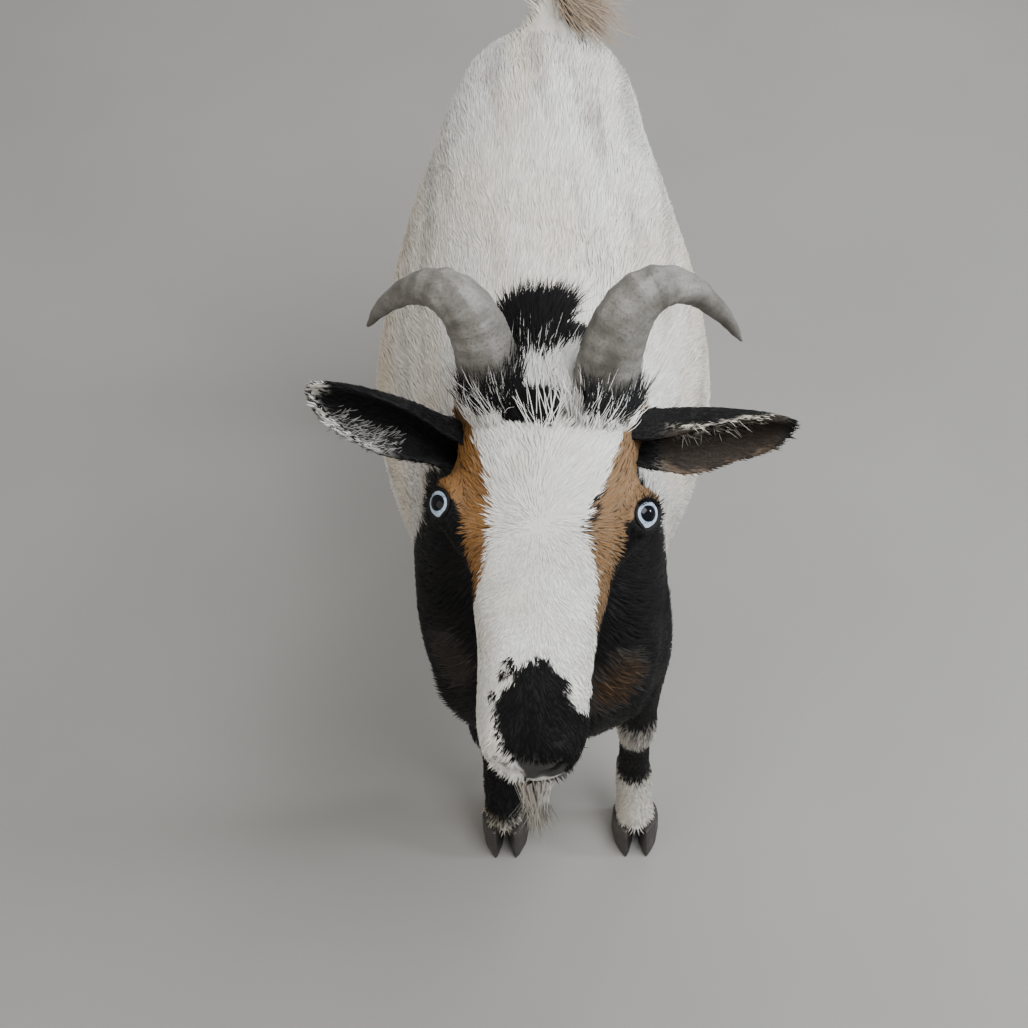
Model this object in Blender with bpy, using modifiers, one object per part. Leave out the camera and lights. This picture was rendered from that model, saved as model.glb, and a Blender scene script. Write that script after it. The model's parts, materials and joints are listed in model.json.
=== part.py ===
"""A standing dwarf goat at life size, as a museum model: flesh parts, eyes, horns and cloven hooves.

Metres, +Z up. The goat faces -Y and its left side is +X. The body is modelled whole, as overlapping
lofted masses fused by a voxel remesh, and then parted with thin cuts into the parts a person would name.
"""

import math

import bmesh
import bpy
import numpy as np
from mathutils import Matrix, Vector

# ---------------------------------------------------------------- driving dimensions
WITHERS = 0.53  # height of the back over the shoulders, coat included
BODY_LENGTH = 0.612  # point of the chest to the pin bones
BARREL_WIDTH = 0.274  # widest part of the belly
CHEST_Y = -0.095  # point of the chest, measured from the front hooves
HEAD_LENGTH = 0.216  # between the horns to the tip of the nose
EYE_OUT = 0.0490  # centre of an eyeball, sideways from the middle of the head
EYE_ALONG = 0.067  # and down the face from the poll
EYE_DEEP = 0.0215  # and below the plane of the forehead
EYE_RADIUS = 0.0125
FRONT_FOOT = (0.0575, 0.014)  # middle of the front left foot on the floor
HIND_FOOT = (0.060, 0.438)
FRONT_SHIFT = 0.007  # the front feet stand this far to the goat's left, and the hind feet
HIND_SHIFT = 0.004
LEAN_FROM = 0.36  # the height from which the legs lean towards that side
HOOF_TOP = 0.031  # height of the coronet, where hair ends and hoof begins
GAP = 0.0005  # thin cut between neighbouring parts

POLL = Vector((0.0055, -0.048, 0.6565))  # top of the forehead, between the horns
FACE_SLOPE = math.radians(33)  # the face falls forwards at this slope
HEAD_TURN = math.radians(-5)  # nose turned a little to the goat's right
HEAD_LEAN = math.radians(1.5)

# The head is modelled lying flat: -Y runs down the face, +Z stands out of the forehead.
HEAD_PLACE = (
    Matrix.Translation(POLL)
    @ Matrix.Rotation(HEAD_TURN, 4, "Z")
    @ Matrix.Rotation(FACE_SLOPE, 4, "X")
    @ Matrix.Rotation(HEAD_LEAN, 4, "Y")
)

RING_POINTS = 32
BODY_VOXEL = 0.0045
BODY_TRIANGLES = 4200  # of the whole body, before it is parted
SIDES = {"left": 1, "right": -1}

COAT_WHITE = (0.80, 0.77, 0.70)
COAT_BLACK = (0.018, 0.016, 0.016)
HORN_GREY = (0.34, 0.31, 0.27)
HOOF_BLACK = (0.035, 0.032, 0.030)
EYE_BLUE = (0.42, 0.55, 0.72)

for leftover in list(bpy.data.objects):
    bpy.data.objects.remove(leftover, do_unlink=True)


# ---------------------------------------------------------------- helpers
def collection_named(name, hidden=False):
    made = bpy.data.collections.new(name)
    bpy.context.scene.collection.children.link(made)
    made.hide_render = hidden
    return made


GOAT = collection_named("goat")
HELPERS = collection_named("cutters", hidden=True)


def material_named(name, colour, roughness, metallic=0.0):
    made = bpy.data.materials.new(name)
    made.use_nodes = True
    shader = made.node_tree.nodes["Principled BSDF"]
    shader.inputs["Base Color"].default_value = (*colour, 1.0)
    shader.inputs["Roughness"].default_value = roughness
    shader.inputs["Metallic"].default_value = metallic
    return made


WHITE_COAT = material_named("white_coat", COAT_WHITE, 0.75)
BLACK_COAT = material_named("black_coat", COAT_BLACK, 0.65)
HORN = material_named("horn", HORN_GREY, 0.55)
HOOF = material_named("hoof", HOOF_BLACK, 0.45)
EYE = material_named("eye", EYE_BLUE, 0.08)


def object_from(name, mesh, material, collection=None):
    """A new object for this bmesh, shaded smooth, in the goat's collection or in another."""
    data = bpy.data.meshes.new(name)
    bmesh.ops.recalc_face_normals(mesh, faces=mesh.faces)
    mesh.to_mesh(data)
    mesh.free()
    data.materials.append(material)
    data.shade_smooth()
    made = bpy.data.objects.new(name, data)
    (collection or GOAT).objects.link(made)
    return made


def smooth_rows(rows, steps):
    """Rows of numbers, with steps - 1 more rows between each two, on a Catmull-Rom curve through them."""
    table = np.array(rows, float)
    padded = np.vstack([2 * table[0] - table[1], table, 2 * table[-1] - table[-2]])
    made = []
    for i in range(1, len(padded) - 2):
        before, start, end, after = padded[i - 1 : i + 3]
        for t in np.arange(steps) / steps:
            made.append(
                0.5
                * (
                    2 * start
                    + (end - before) * t
                    + (2 * before - 5 * start + 4 * end - after) * t**2
                    + (3 * start - before - 3 * end + after) * t**3
                )
            )
    made.append(table[-1])
    return np.array(made)


def egg_ring(centre, side, up, half_width, rise, drop, high_bulge=0.0, squareness=2.0, count=RING_POINTS):
    """One cross-section, as points: an ellipse with its own rise and drop, wider above the middle
    where high_bulge is over 0 and wider below it where it is under 0."""
    points = []
    for i in range(count):
        angle = 2 * math.pi * i / count
        across, along = math.cos(angle), math.sin(angle)
        across = math.copysign(abs(across) ** (2 / squareness), across)
        along = math.copysign(abs(along) ** (2 / squareness), along)
        wide = half_width * across * (1 + high_bulge * along)
        tall = (rise if along > 0 else drop) * along
        points.append(Vector(centre) + Vector(side) * wide + Vector(up) * tall)
    return points


def loft(mesh, rings):
    """Adds a closed tube through these rings to the mesh."""
    loops = [[mesh.verts.new(point) for point in ring] for ring in rings]
    count = len(loops[0])
    for first, second in zip(loops, loops[1:]):
        for i in range(count):
            j = (i + 1) % count
            mesh.faces.new((first[i], first[j], second[j], second[i]))
    mesh.faces.new(list(reversed(loops[0])))
    mesh.faces.new(loops[-1])


def shifted(rows, by):
    """The rows of a limb, leaning sideways: not moved at its top, and moved by this much at the foot."""
    return [(row[0] + by * min(1.0, max(0.0, 1 - row[2] / LEAN_FROM)), *row[1:]) for row in rows]


def limb(mesh, rows, side_sign=1, steps=4, count=RING_POINTS):
    """Adds a limb: rows of centre x, y, z, half width, half depth in front, half depth behind."""
    table = smooth_rows(rows, steps)
    table[:, 0] *= side_sign
    sideways = Vector((1, 0, 0))
    centres = [Vector(row[:3]) for row in table]
    rings = []
    for i, row in enumerate(table):
        run = centres[min(i + 1, len(centres) - 1)] - centres[max(i - 1, 0)]
        up = run.cross(sideways).normalized()
        if up.y < 0:
            up = -up
        rings.append(egg_ring(centres[i], sideways, up, row[3], row[5], row[4], count=count))
    loft(mesh, rings)


def ball(mesh, centre, radii, place=Matrix(), segments=24):
    """Adds an ellipsoid."""
    shape = place @ Matrix.Translation(centre) @ Matrix.Diagonal((*radii, 1.0))
    bmesh.ops.create_uvsphere(mesh, u_segments=segments, v_segments=segments // 2, radius=1.0, matrix=shape)


def cutter_object(name, mesh):
    made = object_from(name, mesh, BLACK_COAT, HELPERS)
    made.hide_render = True
    made.display_type = "WIRE"
    return made


def box_object(name, low, high, place=Matrix()):
    """A box to cut with, between two corners, turned and moved by place."""
    mesh = bmesh.new()
    low, high = Vector(low), Vector(high)
    size = high - low
    shape = place @ Matrix.Translation((low + high) / 2) @ Matrix.Diagonal((*size, 1.0))
    bmesh.ops.create_cube(mesh, size=1.0, matrix=shape)
    return cutter_object(name, mesh)


def apply_modifiers(thing):
    """Swaps the object's mesh for the one that its modifiers make."""
    graph = bpy.context.evaluated_depsgraph_get()
    made = bpy.data.meshes.new_from_object(thing.evaluated_get(graph))
    thing.modifiers.clear()
    thing.data = made
    return thing


def copy_of(thing, name, collection=None):
    made = thing.copy()
    made.data = thing.data.copy()
    made.name = name
    (collection or GOAT).objects.link(made)
    return made


def boolean(thing, other, operation):
    modifier = thing.modifiers.new("cut", "BOOLEAN")
    modifier.object = other
    modifier.operation = operation
    apply_modifiers(thing)


def grown(thing, by):
    """A hidden copy of the object, larger by this much all round, to cut with."""
    made = copy_of(thing, thing.name + "_grown", HELPERS)
    made.hide_render = True
    made.display_type = "WIRE"
    modifier = made.modifiers.new("grow", "DISPLACE")
    modifier.strength = by
    modifier.mid_level = 0.0
    return apply_modifiers(made)


def biggest_body(thing):
    """Keeps only the largest connected piece of the mesh."""
    mesh = bmesh.new()
    mesh.from_mesh(thing.data)
    left, bodies = set(mesh.verts), []
    while left:
        body, edge = set(), [left.pop()]
        while edge:
            vertex = edge.pop()
            body.add(vertex)
            for link in vertex.link_edges:
                other = link.other_vert(vertex)
                if other in left:
                    left.remove(other)
                    edge.append(other)
        bodies.append(body)
    bodies.sort(key=len)
    scraps = [vertex for body in bodies[:-1] for vertex in body]
    bmesh.ops.delete(mesh, geom=scraps, context="VERTS")
    mesh.to_mesh(thing.data)
    mesh.free()


def thin_out(thing, triangles):
    """Brings the object's mesh down to about this many triangles."""
    now = sum(len(face.vertices) - 2 for face in thing.data.polygons)
    if now > triangles:
        modifier = thing.modifiers.new("fewer", "DECIMATE")
        modifier.ratio = triangles / now
        modifier.use_collapse_triangulate = True
        apply_modifiers(thing)


# ---------------------------------------------------------------- masses of the body
# Share of BODY_LENGTH from the chest, the middle's shift sideways in metres as the spine bends a little,
# half width over half the barrel's, top and bottom over WITHERS, and how much the section is wider above
# (or, under 0, below) its middle.
TRUNK_ROWS = (
    (0.00, -0.003, 0.22, 0.755, 0.650, 0.00),
    (0.05, -0.005, 0.50, 0.840, 0.550, 0.00),
    (0.12, -0.007, 0.63, 0.935, 0.482, -0.05),
    (0.20, -0.008, 0.675, 0.985, 0.448, -0.12),
    (0.30, -0.009, 0.72, 1.000, 0.420, -0.20),
    (0.42, -0.008, 0.88, 0.980, 0.388, -0.26),
    (0.54, -0.008, 1.00, 0.966, 0.370, -0.22),
    (0.66, -0.006, 0.985, 0.970, 0.378, -0.18),
    (0.76, -0.006, 0.865, 0.988, 0.425, -0.12),
    (0.84, -0.005, 0.715, 0.998, 0.515, -0.05),
    (0.91, -0.002, 0.61, 0.988, 0.620, 0.00),
    (0.97, 0.000, 0.48, 0.950, 0.710, 0.00),
    (1.00, 0.002, 0.26, 0.895, 0.780, 0.00),
)
# Centre y and z, half width, depth towards the throat, depth towards the crest.
NECK_ROWS = (
    (0.062, 0.370, 0.078, 0.130, 0.100),
    (0.032, 0.440, 0.070, 0.104, 0.080),
    (0.022, 0.495, 0.058, 0.074, 0.068),
    (0.014, 0.545, 0.051, 0.053, 0.056),
    (0.004, 0.595, 0.046, 0.040, 0.046),
    (-0.012, 0.630, 0.036, 0.028, 0.032),
)
# Centre x, y and z, half width, half depth in front, half depth behind.
FRONT_LEG_ROWS = (
    (0.044, 0.030, 0.440, 0.020, 0.040, 0.040),
    (0.056, 0.018, 0.365, 0.030, 0.056, 0.056),
    (0.060, 0.024, 0.305, 0.030, 0.048, 0.054),
    (0.062, 0.031, 0.262, 0.026, 0.034, 0.040),
    (0.061, 0.030, 0.215, 0.0215, 0.0265, 0.0270),
    (0.060, 0.028, 0.183, 0.0200, 0.0230, 0.0210),
    (0.060, 0.027, 0.163, 0.0205, 0.0235, 0.0205),
    (0.059, 0.029, 0.138, 0.0160, 0.0175, 0.0180),
    (0.058, 0.030, 0.100, 0.0150, 0.0165, 0.0170),
    (0.0575, 0.028, 0.068, 0.0185, 0.0190, 0.0215),
    (0.0575, 0.020, 0.048, 0.0175, 0.0185, 0.0185),
    (0.0575, 0.014, HOOF_TOP, 0.0205, 0.0230, 0.0210),
    (0.0575, 0.012, 0.020, 0.0205, 0.0230, 0.0210),
)
HIND_LEG_ROWS = (
    (0.038, 0.404, 0.478, 0.018, 0.040, 0.036),
    (0.058, 0.396, 0.415, 0.034, 0.078, 0.072),
    (0.066, 0.386, 0.350, 0.041, 0.086, 0.080),
    (0.070, 0.386, 0.300, 0.037, 0.068, 0.070),
    (0.068, 0.408, 0.256, 0.030, 0.044, 0.046),
    (0.065, 0.440, 0.220, 0.0225, 0.0290, 0.0280),
    (0.063, 0.462, 0.192, 0.0190, 0.0240, 0.0250),
    (0.062, 0.467, 0.170, 0.0190, 0.0220, 0.0250),
    (0.061, 0.464, 0.140, 0.0165, 0.0180, 0.0200),
    (0.060, 0.460, 0.102, 0.0155, 0.0170, 0.0175),
    (0.060, 0.457, 0.068, 0.0185, 0.0195, 0.0215),
    (0.060, 0.446, 0.048, 0.0175, 0.0185, 0.0185),
    (0.060, 0.438, HOOF_TOP, 0.0205, 0.0230, 0.0210),
    (0.060, 0.436, 0.020, 0.0205, 0.0230, 0.0210),
)
# The upright tail: centre x, y, z, half width, half depth in front, half depth behind.
TAIL_ROWS = (
    (0.008, 0.445, 0.480, 0.030, 0.018, 0.018),
    (0.011, 0.480, 0.508, 0.028, 0.018, 0.020),
    (0.015, 0.497, 0.540, 0.027, 0.016, 0.020),
    (0.020, 0.503, 0.575, 0.029, 0.015, 0.019),
    (0.025, 0.498, 0.608, 0.024, 0.012, 0.015),
    (0.028, 0.488, 0.634, 0.009, 0.006, 0.007),
)
# The head, lying flat: distance down the face, half width, top, bottom, high bulge, squareness.
SKULL_ROWS = (
    (-0.042, 0.018, -0.030, -0.062, 0.00, 2.0),
    (-0.030, 0.036, -0.012, -0.086, 0.00, 2.1),
    (-0.010, 0.046, 0.002, -0.098, 0.05, 2.2),
    (0.020, 0.0500, 0.0060, -0.104, 0.12, 2.3),
    (0.050, 0.0490, 0.0065, -0.108, 0.22, 2.3),
    (0.075, 0.0450, 0.0030, -0.102, 0.24, 2.3),
    (0.100, 0.0400, -0.0010, -0.088, 0.20, 2.4),
    (0.125, 0.0350, -0.0035, -0.076, 0.14, 2.5),
    (0.150, 0.0320, -0.0040, -0.067, 0.05, 2.5),
    (0.172, 0.0325, -0.0060, -0.064, -0.02, 2.4),
    (0.190, 0.0310, -0.0110, -0.062, -0.04, 2.3),
    (0.203, 0.0260, -0.0185, -0.059, -0.04, 2.2),
    (0.211, 0.0195, -0.0260, -0.055, -0.02, 2.1),
    (HEAD_LENGTH, 0.0100, -0.0340, -0.048, 0.00, 2.0),
)


def add_trunk(mesh):
    rings = []
    for along, shift, width, top, bottom, bulge in smooth_rows(TRUNK_ROWS, 4):
        middle = WITHERS * (top + bottom) / 2
        half = WITHERS * (top - bottom) / 2
        centre = (shift, CHEST_Y + along * BODY_LENGTH, middle)
        rings.append(
            egg_ring(centre, (1, 0, 0), (0, 0, 1), width * BARREL_WIDTH / 2, half, half, bulge, 2.15)
        )
    loft(mesh, rings)


def add_neck(mesh):
    limb(mesh, [(0, y, z, width, front, back) for y, z, width, front, back in NECK_ROWS])


def add_head(mesh):
    rings = []
    for along, width, top, bottom, bulge, square in smooth_rows(SKULL_ROWS, 3):
        half = (top - bottom) / 2
        centre = (0, -along, (top + bottom) / 2)
        rings.append(egg_ring(centre, (1, 0, 0), (0, 0, 1), width, half, half, bulge, square))
    placed = [[HEAD_PLACE @ point for point in ring] for ring in rings]
    loft(mesh, placed)
    for sign in SIDES.values():
        orbit = (sign * 0.0388, -EYE_ALONG, -0.0235)
        ball(mesh, orbit, (0.0215, 0.0265, 0.0205), HEAD_PLACE)
        cheek = (sign * 0.0270, -0.068, -0.064)
        ball(mesh, cheek, (0.0165, 0.0400, 0.0330), HEAD_PLACE)
        nostril_wing = (sign * 0.0155, -0.192, -0.0240)
        ball(mesh, nostril_wing, (0.0135, 0.0160, 0.0140), HEAD_PLACE)
        ear_root = (sign * 0.0430, -0.012, -0.040)
        ball(mesh, ear_root, (0.0150, 0.0190, 0.0200), HEAD_PLACE)
    ball(mesh, (0, -0.192, -0.0530), (0.0225, 0.0190, 0.0120), HEAD_PLACE)  # lower lip and chin


def add_legs(mesh):
    for sign in SIDES.values():
        limb(mesh, shifted(FRONT_LEG_ROWS, sign * FRONT_SHIFT), sign)
        limb(mesh, shifted(HIND_LEG_ROWS, sign * HIND_SHIFT), sign)
        ball(mesh, (sign * 0.062, 0.070, 0.285), (0.020, 0.024, 0.030))  # elbow
        ball(mesh, (sign * 0.0635 + HIND_SHIFT, 0.484, 0.196), (0.0125, 0.0120, 0.0200))  # hock
        ball(mesh, (sign * 0.046 - 0.005, -0.038, 0.362), (0.034, 0.042, 0.060))  # shoulder


def whole_body():
    """All flesh but the ears, fused into one surface with its joins melted together."""
    mesh = bmesh.new()
    add_trunk(mesh)
    add_neck(mesh)
    add_head(mesh)
    add_legs(mesh)
    limb(mesh, TAIL_ROWS)
    body = object_from("body", mesh, WHITE_COAT, HELPERS)
    fuse = body.modifiers.new("fuse", "REMESH")
    fuse.mode = "VOXEL"
    fuse.voxel_size = BODY_VOXEL
    melt = body.modifiers.new("melt", "SMOOTH")
    melt.factor = 0.5
    melt.iterations = 8
    apply_modifiers(body)
    body.hide_render = True
    biggest_body(body)
    thin_out(body, BODY_TRIANGLES)
    return body


# ---------------------------------------------------------------- thin cuts between the flesh parts
# The regions that hold each left leg: centre x, y, z, half width, half depth in front and behind.
FRONT_REGION_ROWS = (
    (0.064, 0.024, 0.305, 0.041, 0.058, 0.064),
    (0.064, 0.031, 0.255, 0.038, 0.048, 0.054),
    (0.060, 0.028, -0.020, 0.036, 0.070, 0.060),
)
HIND_REGION_ROWS = (
    (0.060, 0.396, 0.420, 0.046, 0.080, 0.082),
    (0.066, 0.388, 0.345, 0.052, 0.092, 0.092),
    (0.069, 0.400, 0.280, 0.048, 0.076, 0.080),
    (0.064, 0.440, 0.210, 0.040, 0.072, 0.080),
    (0.060, 0.445, -0.020, 0.038, 0.070, 0.080),
)


def plane_region(name, origin, towards, size):
    """A box on one side of a plane across the goat's mid-plane, on the side that towards points to."""
    z = Vector(towards).normalized()
    x = Vector((1, 0, 0))
    place = Matrix.Translation(origin) @ Matrix((x, z.cross(x), z)).transposed().to_4x4()
    wide, deep, high = size
    return box_object(name, (-wide, -deep, 0), (wide, deep, high), place)


def limb_region(name, rows, shift, sign):
    mesh = bmesh.new()
    limb(mesh, shifted(rows, sign * shift), sign, steps=1, count=12)
    bmesh.ops.triangulate(mesh, faces=mesh.faces)
    return cutter_object(name, mesh)


def regions():
    """Each part's region, in the order of cutting."""
    found = {
        "head": plane_region("head_region", (0, 0.0045, 0.590), (0, -0.66, 0.75), (0.2, 0.3, 0.4)),
        "neck": plane_region("neck_region", (0, -0.005, 0.4625), (0, -0.70, 0.715), (0.2, 0.3, 0.3)),
        "tail": plane_region("tail_region", (0, 0.484, 0.516), (0, 0.35, 0.94), (0.06, 0.06, 0.2)),
    }
    for side_name, sign in SIDES.items():
        for end, rows, shift in (
            ("front", FRONT_REGION_ROWS, FRONT_SHIFT),
            ("hind", HIND_REGION_ROWS, HIND_SHIFT),
        ):
            part_name = f"leg_{end}_{side_name}"
            found[part_name] = limb_region(part_name + "_region", rows, shift, sign)
    return found


def part_flesh(body):
    """Cuts the whole body into its named parts, with a thin gap between neighbours."""
    parts = {}
    for name, region in regions().items():
        part = copy_of(body, name)
        part.hide_render = False
        boolean(part, region, "INTERSECT")
        biggest_body(part)
        boolean(body, grown(region, GAP), "DIFFERENCE")
        parts[name] = part
    trunk = copy_of(body, "trunk")
    trunk.hide_render = False
    biggest_body(trunk)
    parts["trunk"] = trunk
    for name in ("leg_front_left", "leg_front_right", "neck"):
        parts[name].data.materials[0] = BLACK_COAT
    return parts


# ---------------------------------------------------------------- ears
EAR_LENGTH = 0.089
EAR_THICK = 0.0032
# Share of the length, half width, half angle of the cup's arc in degrees.
EAR_ROWS = (
    (0.00, 0.0120, 150),
    (0.15, 0.0155, 120),
    (0.35, 0.0200, 95),
    (0.55, 0.0213, 82),
    (0.75, 0.0192, 74),
    (0.90, 0.0140, 66),
    (1.00, 0.0052, 60),
)
EAR_ARC_POINTS = 6
# In the flat head's frame: root, the way to the tip, and the way that the ear's back faces.
EAR_PLACES = {
    "left": (Vector((0.045, -0.0100, -0.040)), Vector((1.0, 0.09, -0.10)), Vector((0.05, 0.85, -0.52))),
    "right": (Vector((-0.050, -0.0235, -0.040)), Vector((-0.84, 0.24, 0.44)), Vector((-0.20, 0.70, -0.45))),
}


def ear(name, root, tipwards, backwards):
    """A cupped leaf: each section is a thick arc that opens away from the ear's back."""
    mesh = bmesh.new()
    tipwards = tipwards.normalized()
    backwards = (backwards - tipwards * backwards.dot(tipwards)).normalized()
    across = tipwards.cross(backwards)
    rings = []
    for share, half_width, half_arc in smooth_rows(EAR_ROWS, 2):
        reach = math.radians(half_arc)
        radius = half_width / math.sin(min(reach, math.pi / 2))
        thick = min(EAR_THICK, half_width * 0.8)
        droop = 0.010 * share**2
        middle = root + tipwards * (share * EAR_LENGTH) - backwards * (radius + droop)
        arc = np.linspace(-reach, reach, EAR_ARC_POINTS)
        outer = [middle + (across * math.sin(a) + backwards * math.cos(a)) * radius for a in arc]
        inner = [
            middle + (across * math.sin(a) + backwards * math.cos(a)) * (radius - thick) for a in reversed(arc)
        ]
        rings.append([HEAD_PLACE @ point for point in outer + inner])
    loft(mesh, rings)
    return object_from(name, mesh, BLACK_COAT)


# ---------------------------------------------------------------- horns
# In the flat head's frame: sideways, down the face, out of the face, half width, half depth. The right
# horn's bow leans a little further forwards than the left one's.
HORN_ROWS = {
    "left": (
        (0.0290, 0.014, -0.0160, 0.0185, 0.0150),
        (0.0305, 0.000, 0.0060, 0.0180, 0.0150),
        (0.0340, -0.017, 0.0240, 0.0168, 0.0142),
        (0.0420, -0.033, 0.0350, 0.0150, 0.0128),
        (0.0545, -0.0430, 0.0370, 0.0128, 0.0108),
        (0.0695, -0.0450, 0.0270, 0.0100, 0.0086),
        (0.0835, -0.0410, 0.0100, 0.0072, 0.0062),
        (0.0945, -0.0350, -0.0080, 0.0046, 0.0040),
        (0.1025, -0.0285, -0.0230, 0.0016, 0.0014),
    ),
    "right": (
        (0.0290, 0.014, -0.0160, 0.0185, 0.0150),
        (0.0305, 0.001, 0.0060, 0.0180, 0.0150),
        (0.0340, -0.014, 0.0240, 0.0168, 0.0142),
        (0.0420, -0.028, 0.0350, 0.0150, 0.0128),
        (0.0545, -0.0370, 0.0370, 0.0128, 0.0108),
        (0.0695, -0.0390, 0.0270, 0.0100, 0.0086),
        (0.0835, -0.0370, 0.0100, 0.0072, 0.0062),
        (0.0945, -0.0330, -0.0080, 0.0046, 0.0040),
        (0.1025, -0.0280, -0.0230, 0.0016, 0.0014),
    ),
}
HORN_POINTS = 10


def horn(name, side_name):
    """A horn that sweeps back and out, then turns down to its tip, with a keel along its front."""
    mesh = bmesh.new()
    sign = SIDES[side_name]
    rows = smooth_rows(HORN_ROWS[side_name], 2)
    centres = [Vector((sign * row[0], -row[1], row[2])) for row in rows]
    rings = []
    for i, row in enumerate(rows):
        run = (centres[min(i + 1, len(rows) - 1)] - centres[max(i - 1, 0)]).normalized()
        outwards = Vector((sign, 0.0, 0.15))
        across = (outwards - run * outwards.dot(run)).normalized()
        if i:
            across = (across * 0.35 + last_across * 0.65).normalized()
            across = (across - run * across.dot(run)).normalized()
        last_across = across
        front = across.cross(run) * sign
        ring = []
        for k in range(HORN_POINTS):
            angle = 2 * math.pi * k / HORN_POINTS
            keel = 1 + 0.10 * max(0.0, math.cos(angle - math.radians(110))) ** 4
            ring.append(
                centres[i]
                + across * (row[3] * math.cos(angle) * keel)
                + front * (row[4] * math.sin(angle) * keel)
            )
        rings.append([HEAD_PLACE @ point for point in ring])
    loft(mesh, rings)
    return object_from(name, mesh, HORN)


# ---------------------------------------------------------------- beard
BEARD_ROOT = Vector((0.0, -0.197, -0.052))  # in the flat head's frame
# How far down from the root, how far forwards, half width, half depth.
BEARD_ROWS = (
    (0.000, 0.000, 0.0110, 0.0080),
    (0.016, 0.001, 0.0105, 0.0078),
    (0.036, 0.006, 0.0088, 0.0066),
    (0.056, 0.012, 0.0062, 0.0048),
    (0.074, 0.016, 0.0018, 0.0015),
)


def beard():
    """The wisp of hair that hangs from the chin and curls forwards."""
    mesh = bmesh.new()
    root = HEAD_PLACE @ BEARD_ROOT
    rows = [(root.x, root.y - ahead, root.z - drop, w, d, d) for drop, ahead, w, d in BEARD_ROWS]
    limb(mesh, rows, steps=1, count=10)
    return object_from("beard", mesh, WHITE_COAT)


# ---------------------------------------------------------------- eyes
def eye(name, sign):
    mesh = bmesh.new()
    centre = (sign * EYE_OUT, -EYE_ALONG, -EYE_DEEP)
    ball(mesh, centre, (EYE_RADIUS, EYE_RADIUS, EYE_RADIUS), HEAD_PLACE, segments=14)
    return object_from(name, mesh, EYE)


# ---------------------------------------------------------------- hooves
CLAW_HALF_WIDTH = 0.0098
CLAW_SPREAD = 0.0110  # middle of a claw from the middle of the foot
CLAW_POINTS = 12
CLAW_BACK = 0.0215
CLAW_TOE = 0.0285
CORONET_SLOPE = math.radians(14)  # the hairline falls towards the heel
# Share of the height, share of the width, share of the length: the wall flares towards the floor.
CLAW_ROWS = ((0.0, 1.0, 1.0), (0.5, 0.97, 0.91), (1.0, 0.90, 0.78))


def claw(name, foot, sign, outer):
    """One half of a cloven hoof, flat underneath, with a pointed toe that turns a little inwards."""
    mesh = bmesh.new()
    rings = []
    middle = sign * (foot[0] + outer * CLAW_SPREAD)
    for height, width, length in CLAW_ROWS:
        ring = []
        for k in range(CLAW_POINTS):
            angle = 2 * math.pi * k / CLAW_POINTS
            across, along = math.cos(angle), -math.sin(angle)
            reach = CLAW_TOE if along < 0 else CLAW_BACK
            slim = 1 - 0.55 * max(0.0, -along) ** 2.2
            y = foot[1] + along * reach * length
            x = middle + sign * across * CLAW_HALF_WIDTH * width * slim
            x -= sign * outer * 0.0022 * max(0.0, -along) ** 2
            z = height * (HOOF_TOP - GAP - math.tan(CORONET_SLOPE) * (y - foot[1]))
            ring.append(Vector((x, y, z)))
        rings.append(ring)
    loft(mesh, rings)
    return object_from(name, mesh, HOOF)


def dewclaw(name, ankle, sign, outer):
    """The small blunt claw behind the ankle."""
    mesh = bmesh.new()
    x = sign * (ankle[0] + outer * 0.0095)
    rows = ((0.0, 0.0055), (0.006, 0.0055), (0.011, 0.0045), (0.015, 0.0018))
    rings = []
    for reach, radius in rows:
        centre = (x, ankle[1] + 0.012 + reach, ankle[2] - 0.45 * reach)
        rings.append(egg_ring(centre, (1, 0, 0), (0, 0.4, 0.9), radius, radius, radius, count=8))
    loft(mesh, rings)
    return object_from(name, mesh, HOOF)


# ---------------------------------------------------------------- the goat
def hoof_cutter(foot, sign):
    """What lies under a foot's hairline, to be cut away from its leg."""
    place = Matrix.Translation((sign * foot[0], foot[1], HOOF_TOP)) @ Matrix.Rotation(-CORONET_SLOPE, 4, "X")
    return box_object(f"under_foot_{foot[1]:.2f}_{sign}", (-0.04, -0.06, -0.08), (0.04, 0.06, 0.0), place)


def add_feet(flesh):
    ends = {
        "front": (FRONT_FOOT, FRONT_LEG_ROWS, FRONT_SHIFT),
        "hind": (HIND_FOOT, HIND_LEG_ROWS, HIND_SHIFT),
    }
    for side_name, sign in SIDES.items():
        for end, (foot_at, leg_rows, shift) in ends.items():
            foot = (foot_at[0] + sign * shift, foot_at[1])
            rows = shifted(leg_rows, sign * shift)
            leg = flesh[f"leg_{end}_{side_name}"]
            boolean(leg, hoof_cutter(foot, sign), "DIFFERENCE")
            biggest_body(leg)
            leg_grown = grown(leg, GAP)
            ankle = rows[-4]
            for claw_name, outer in (("inner", -1), ("outer", 1)):
                claw(f"claw_{end}_{side_name}_{claw_name}", foot, sign, outer)
                small = dewclaw(f"dewclaw_{end}_{side_name}_{claw_name}", ankle, sign, outer)
                boolean(small, leg_grown, "DIFFERENCE")
                biggest_body(small)


def add_head_pieces(flesh):
    head = flesh["head"]
    for side_name, sign in SIDES.items():
        ball_of_eye = eye(f"eye_{side_name}", sign)
        boolean(head, grown(ball_of_eye, GAP), "DIFFERENCE")
        biggest_body(head)
    head_grown = grown(head, GAP)
    for side_name, sign in SIDES.items():
        for piece in (horn(f"horn_{side_name}", side_name), ear(f"ear_{side_name}", *EAR_PLACES[side_name])):
            boolean(piece, head_grown, "DIFFERENCE")
            biggest_body(piece)
    wisp = beard()
    boolean(wisp, head_grown, "DIFFERENCE")
    biggest_body(wisp)


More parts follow.
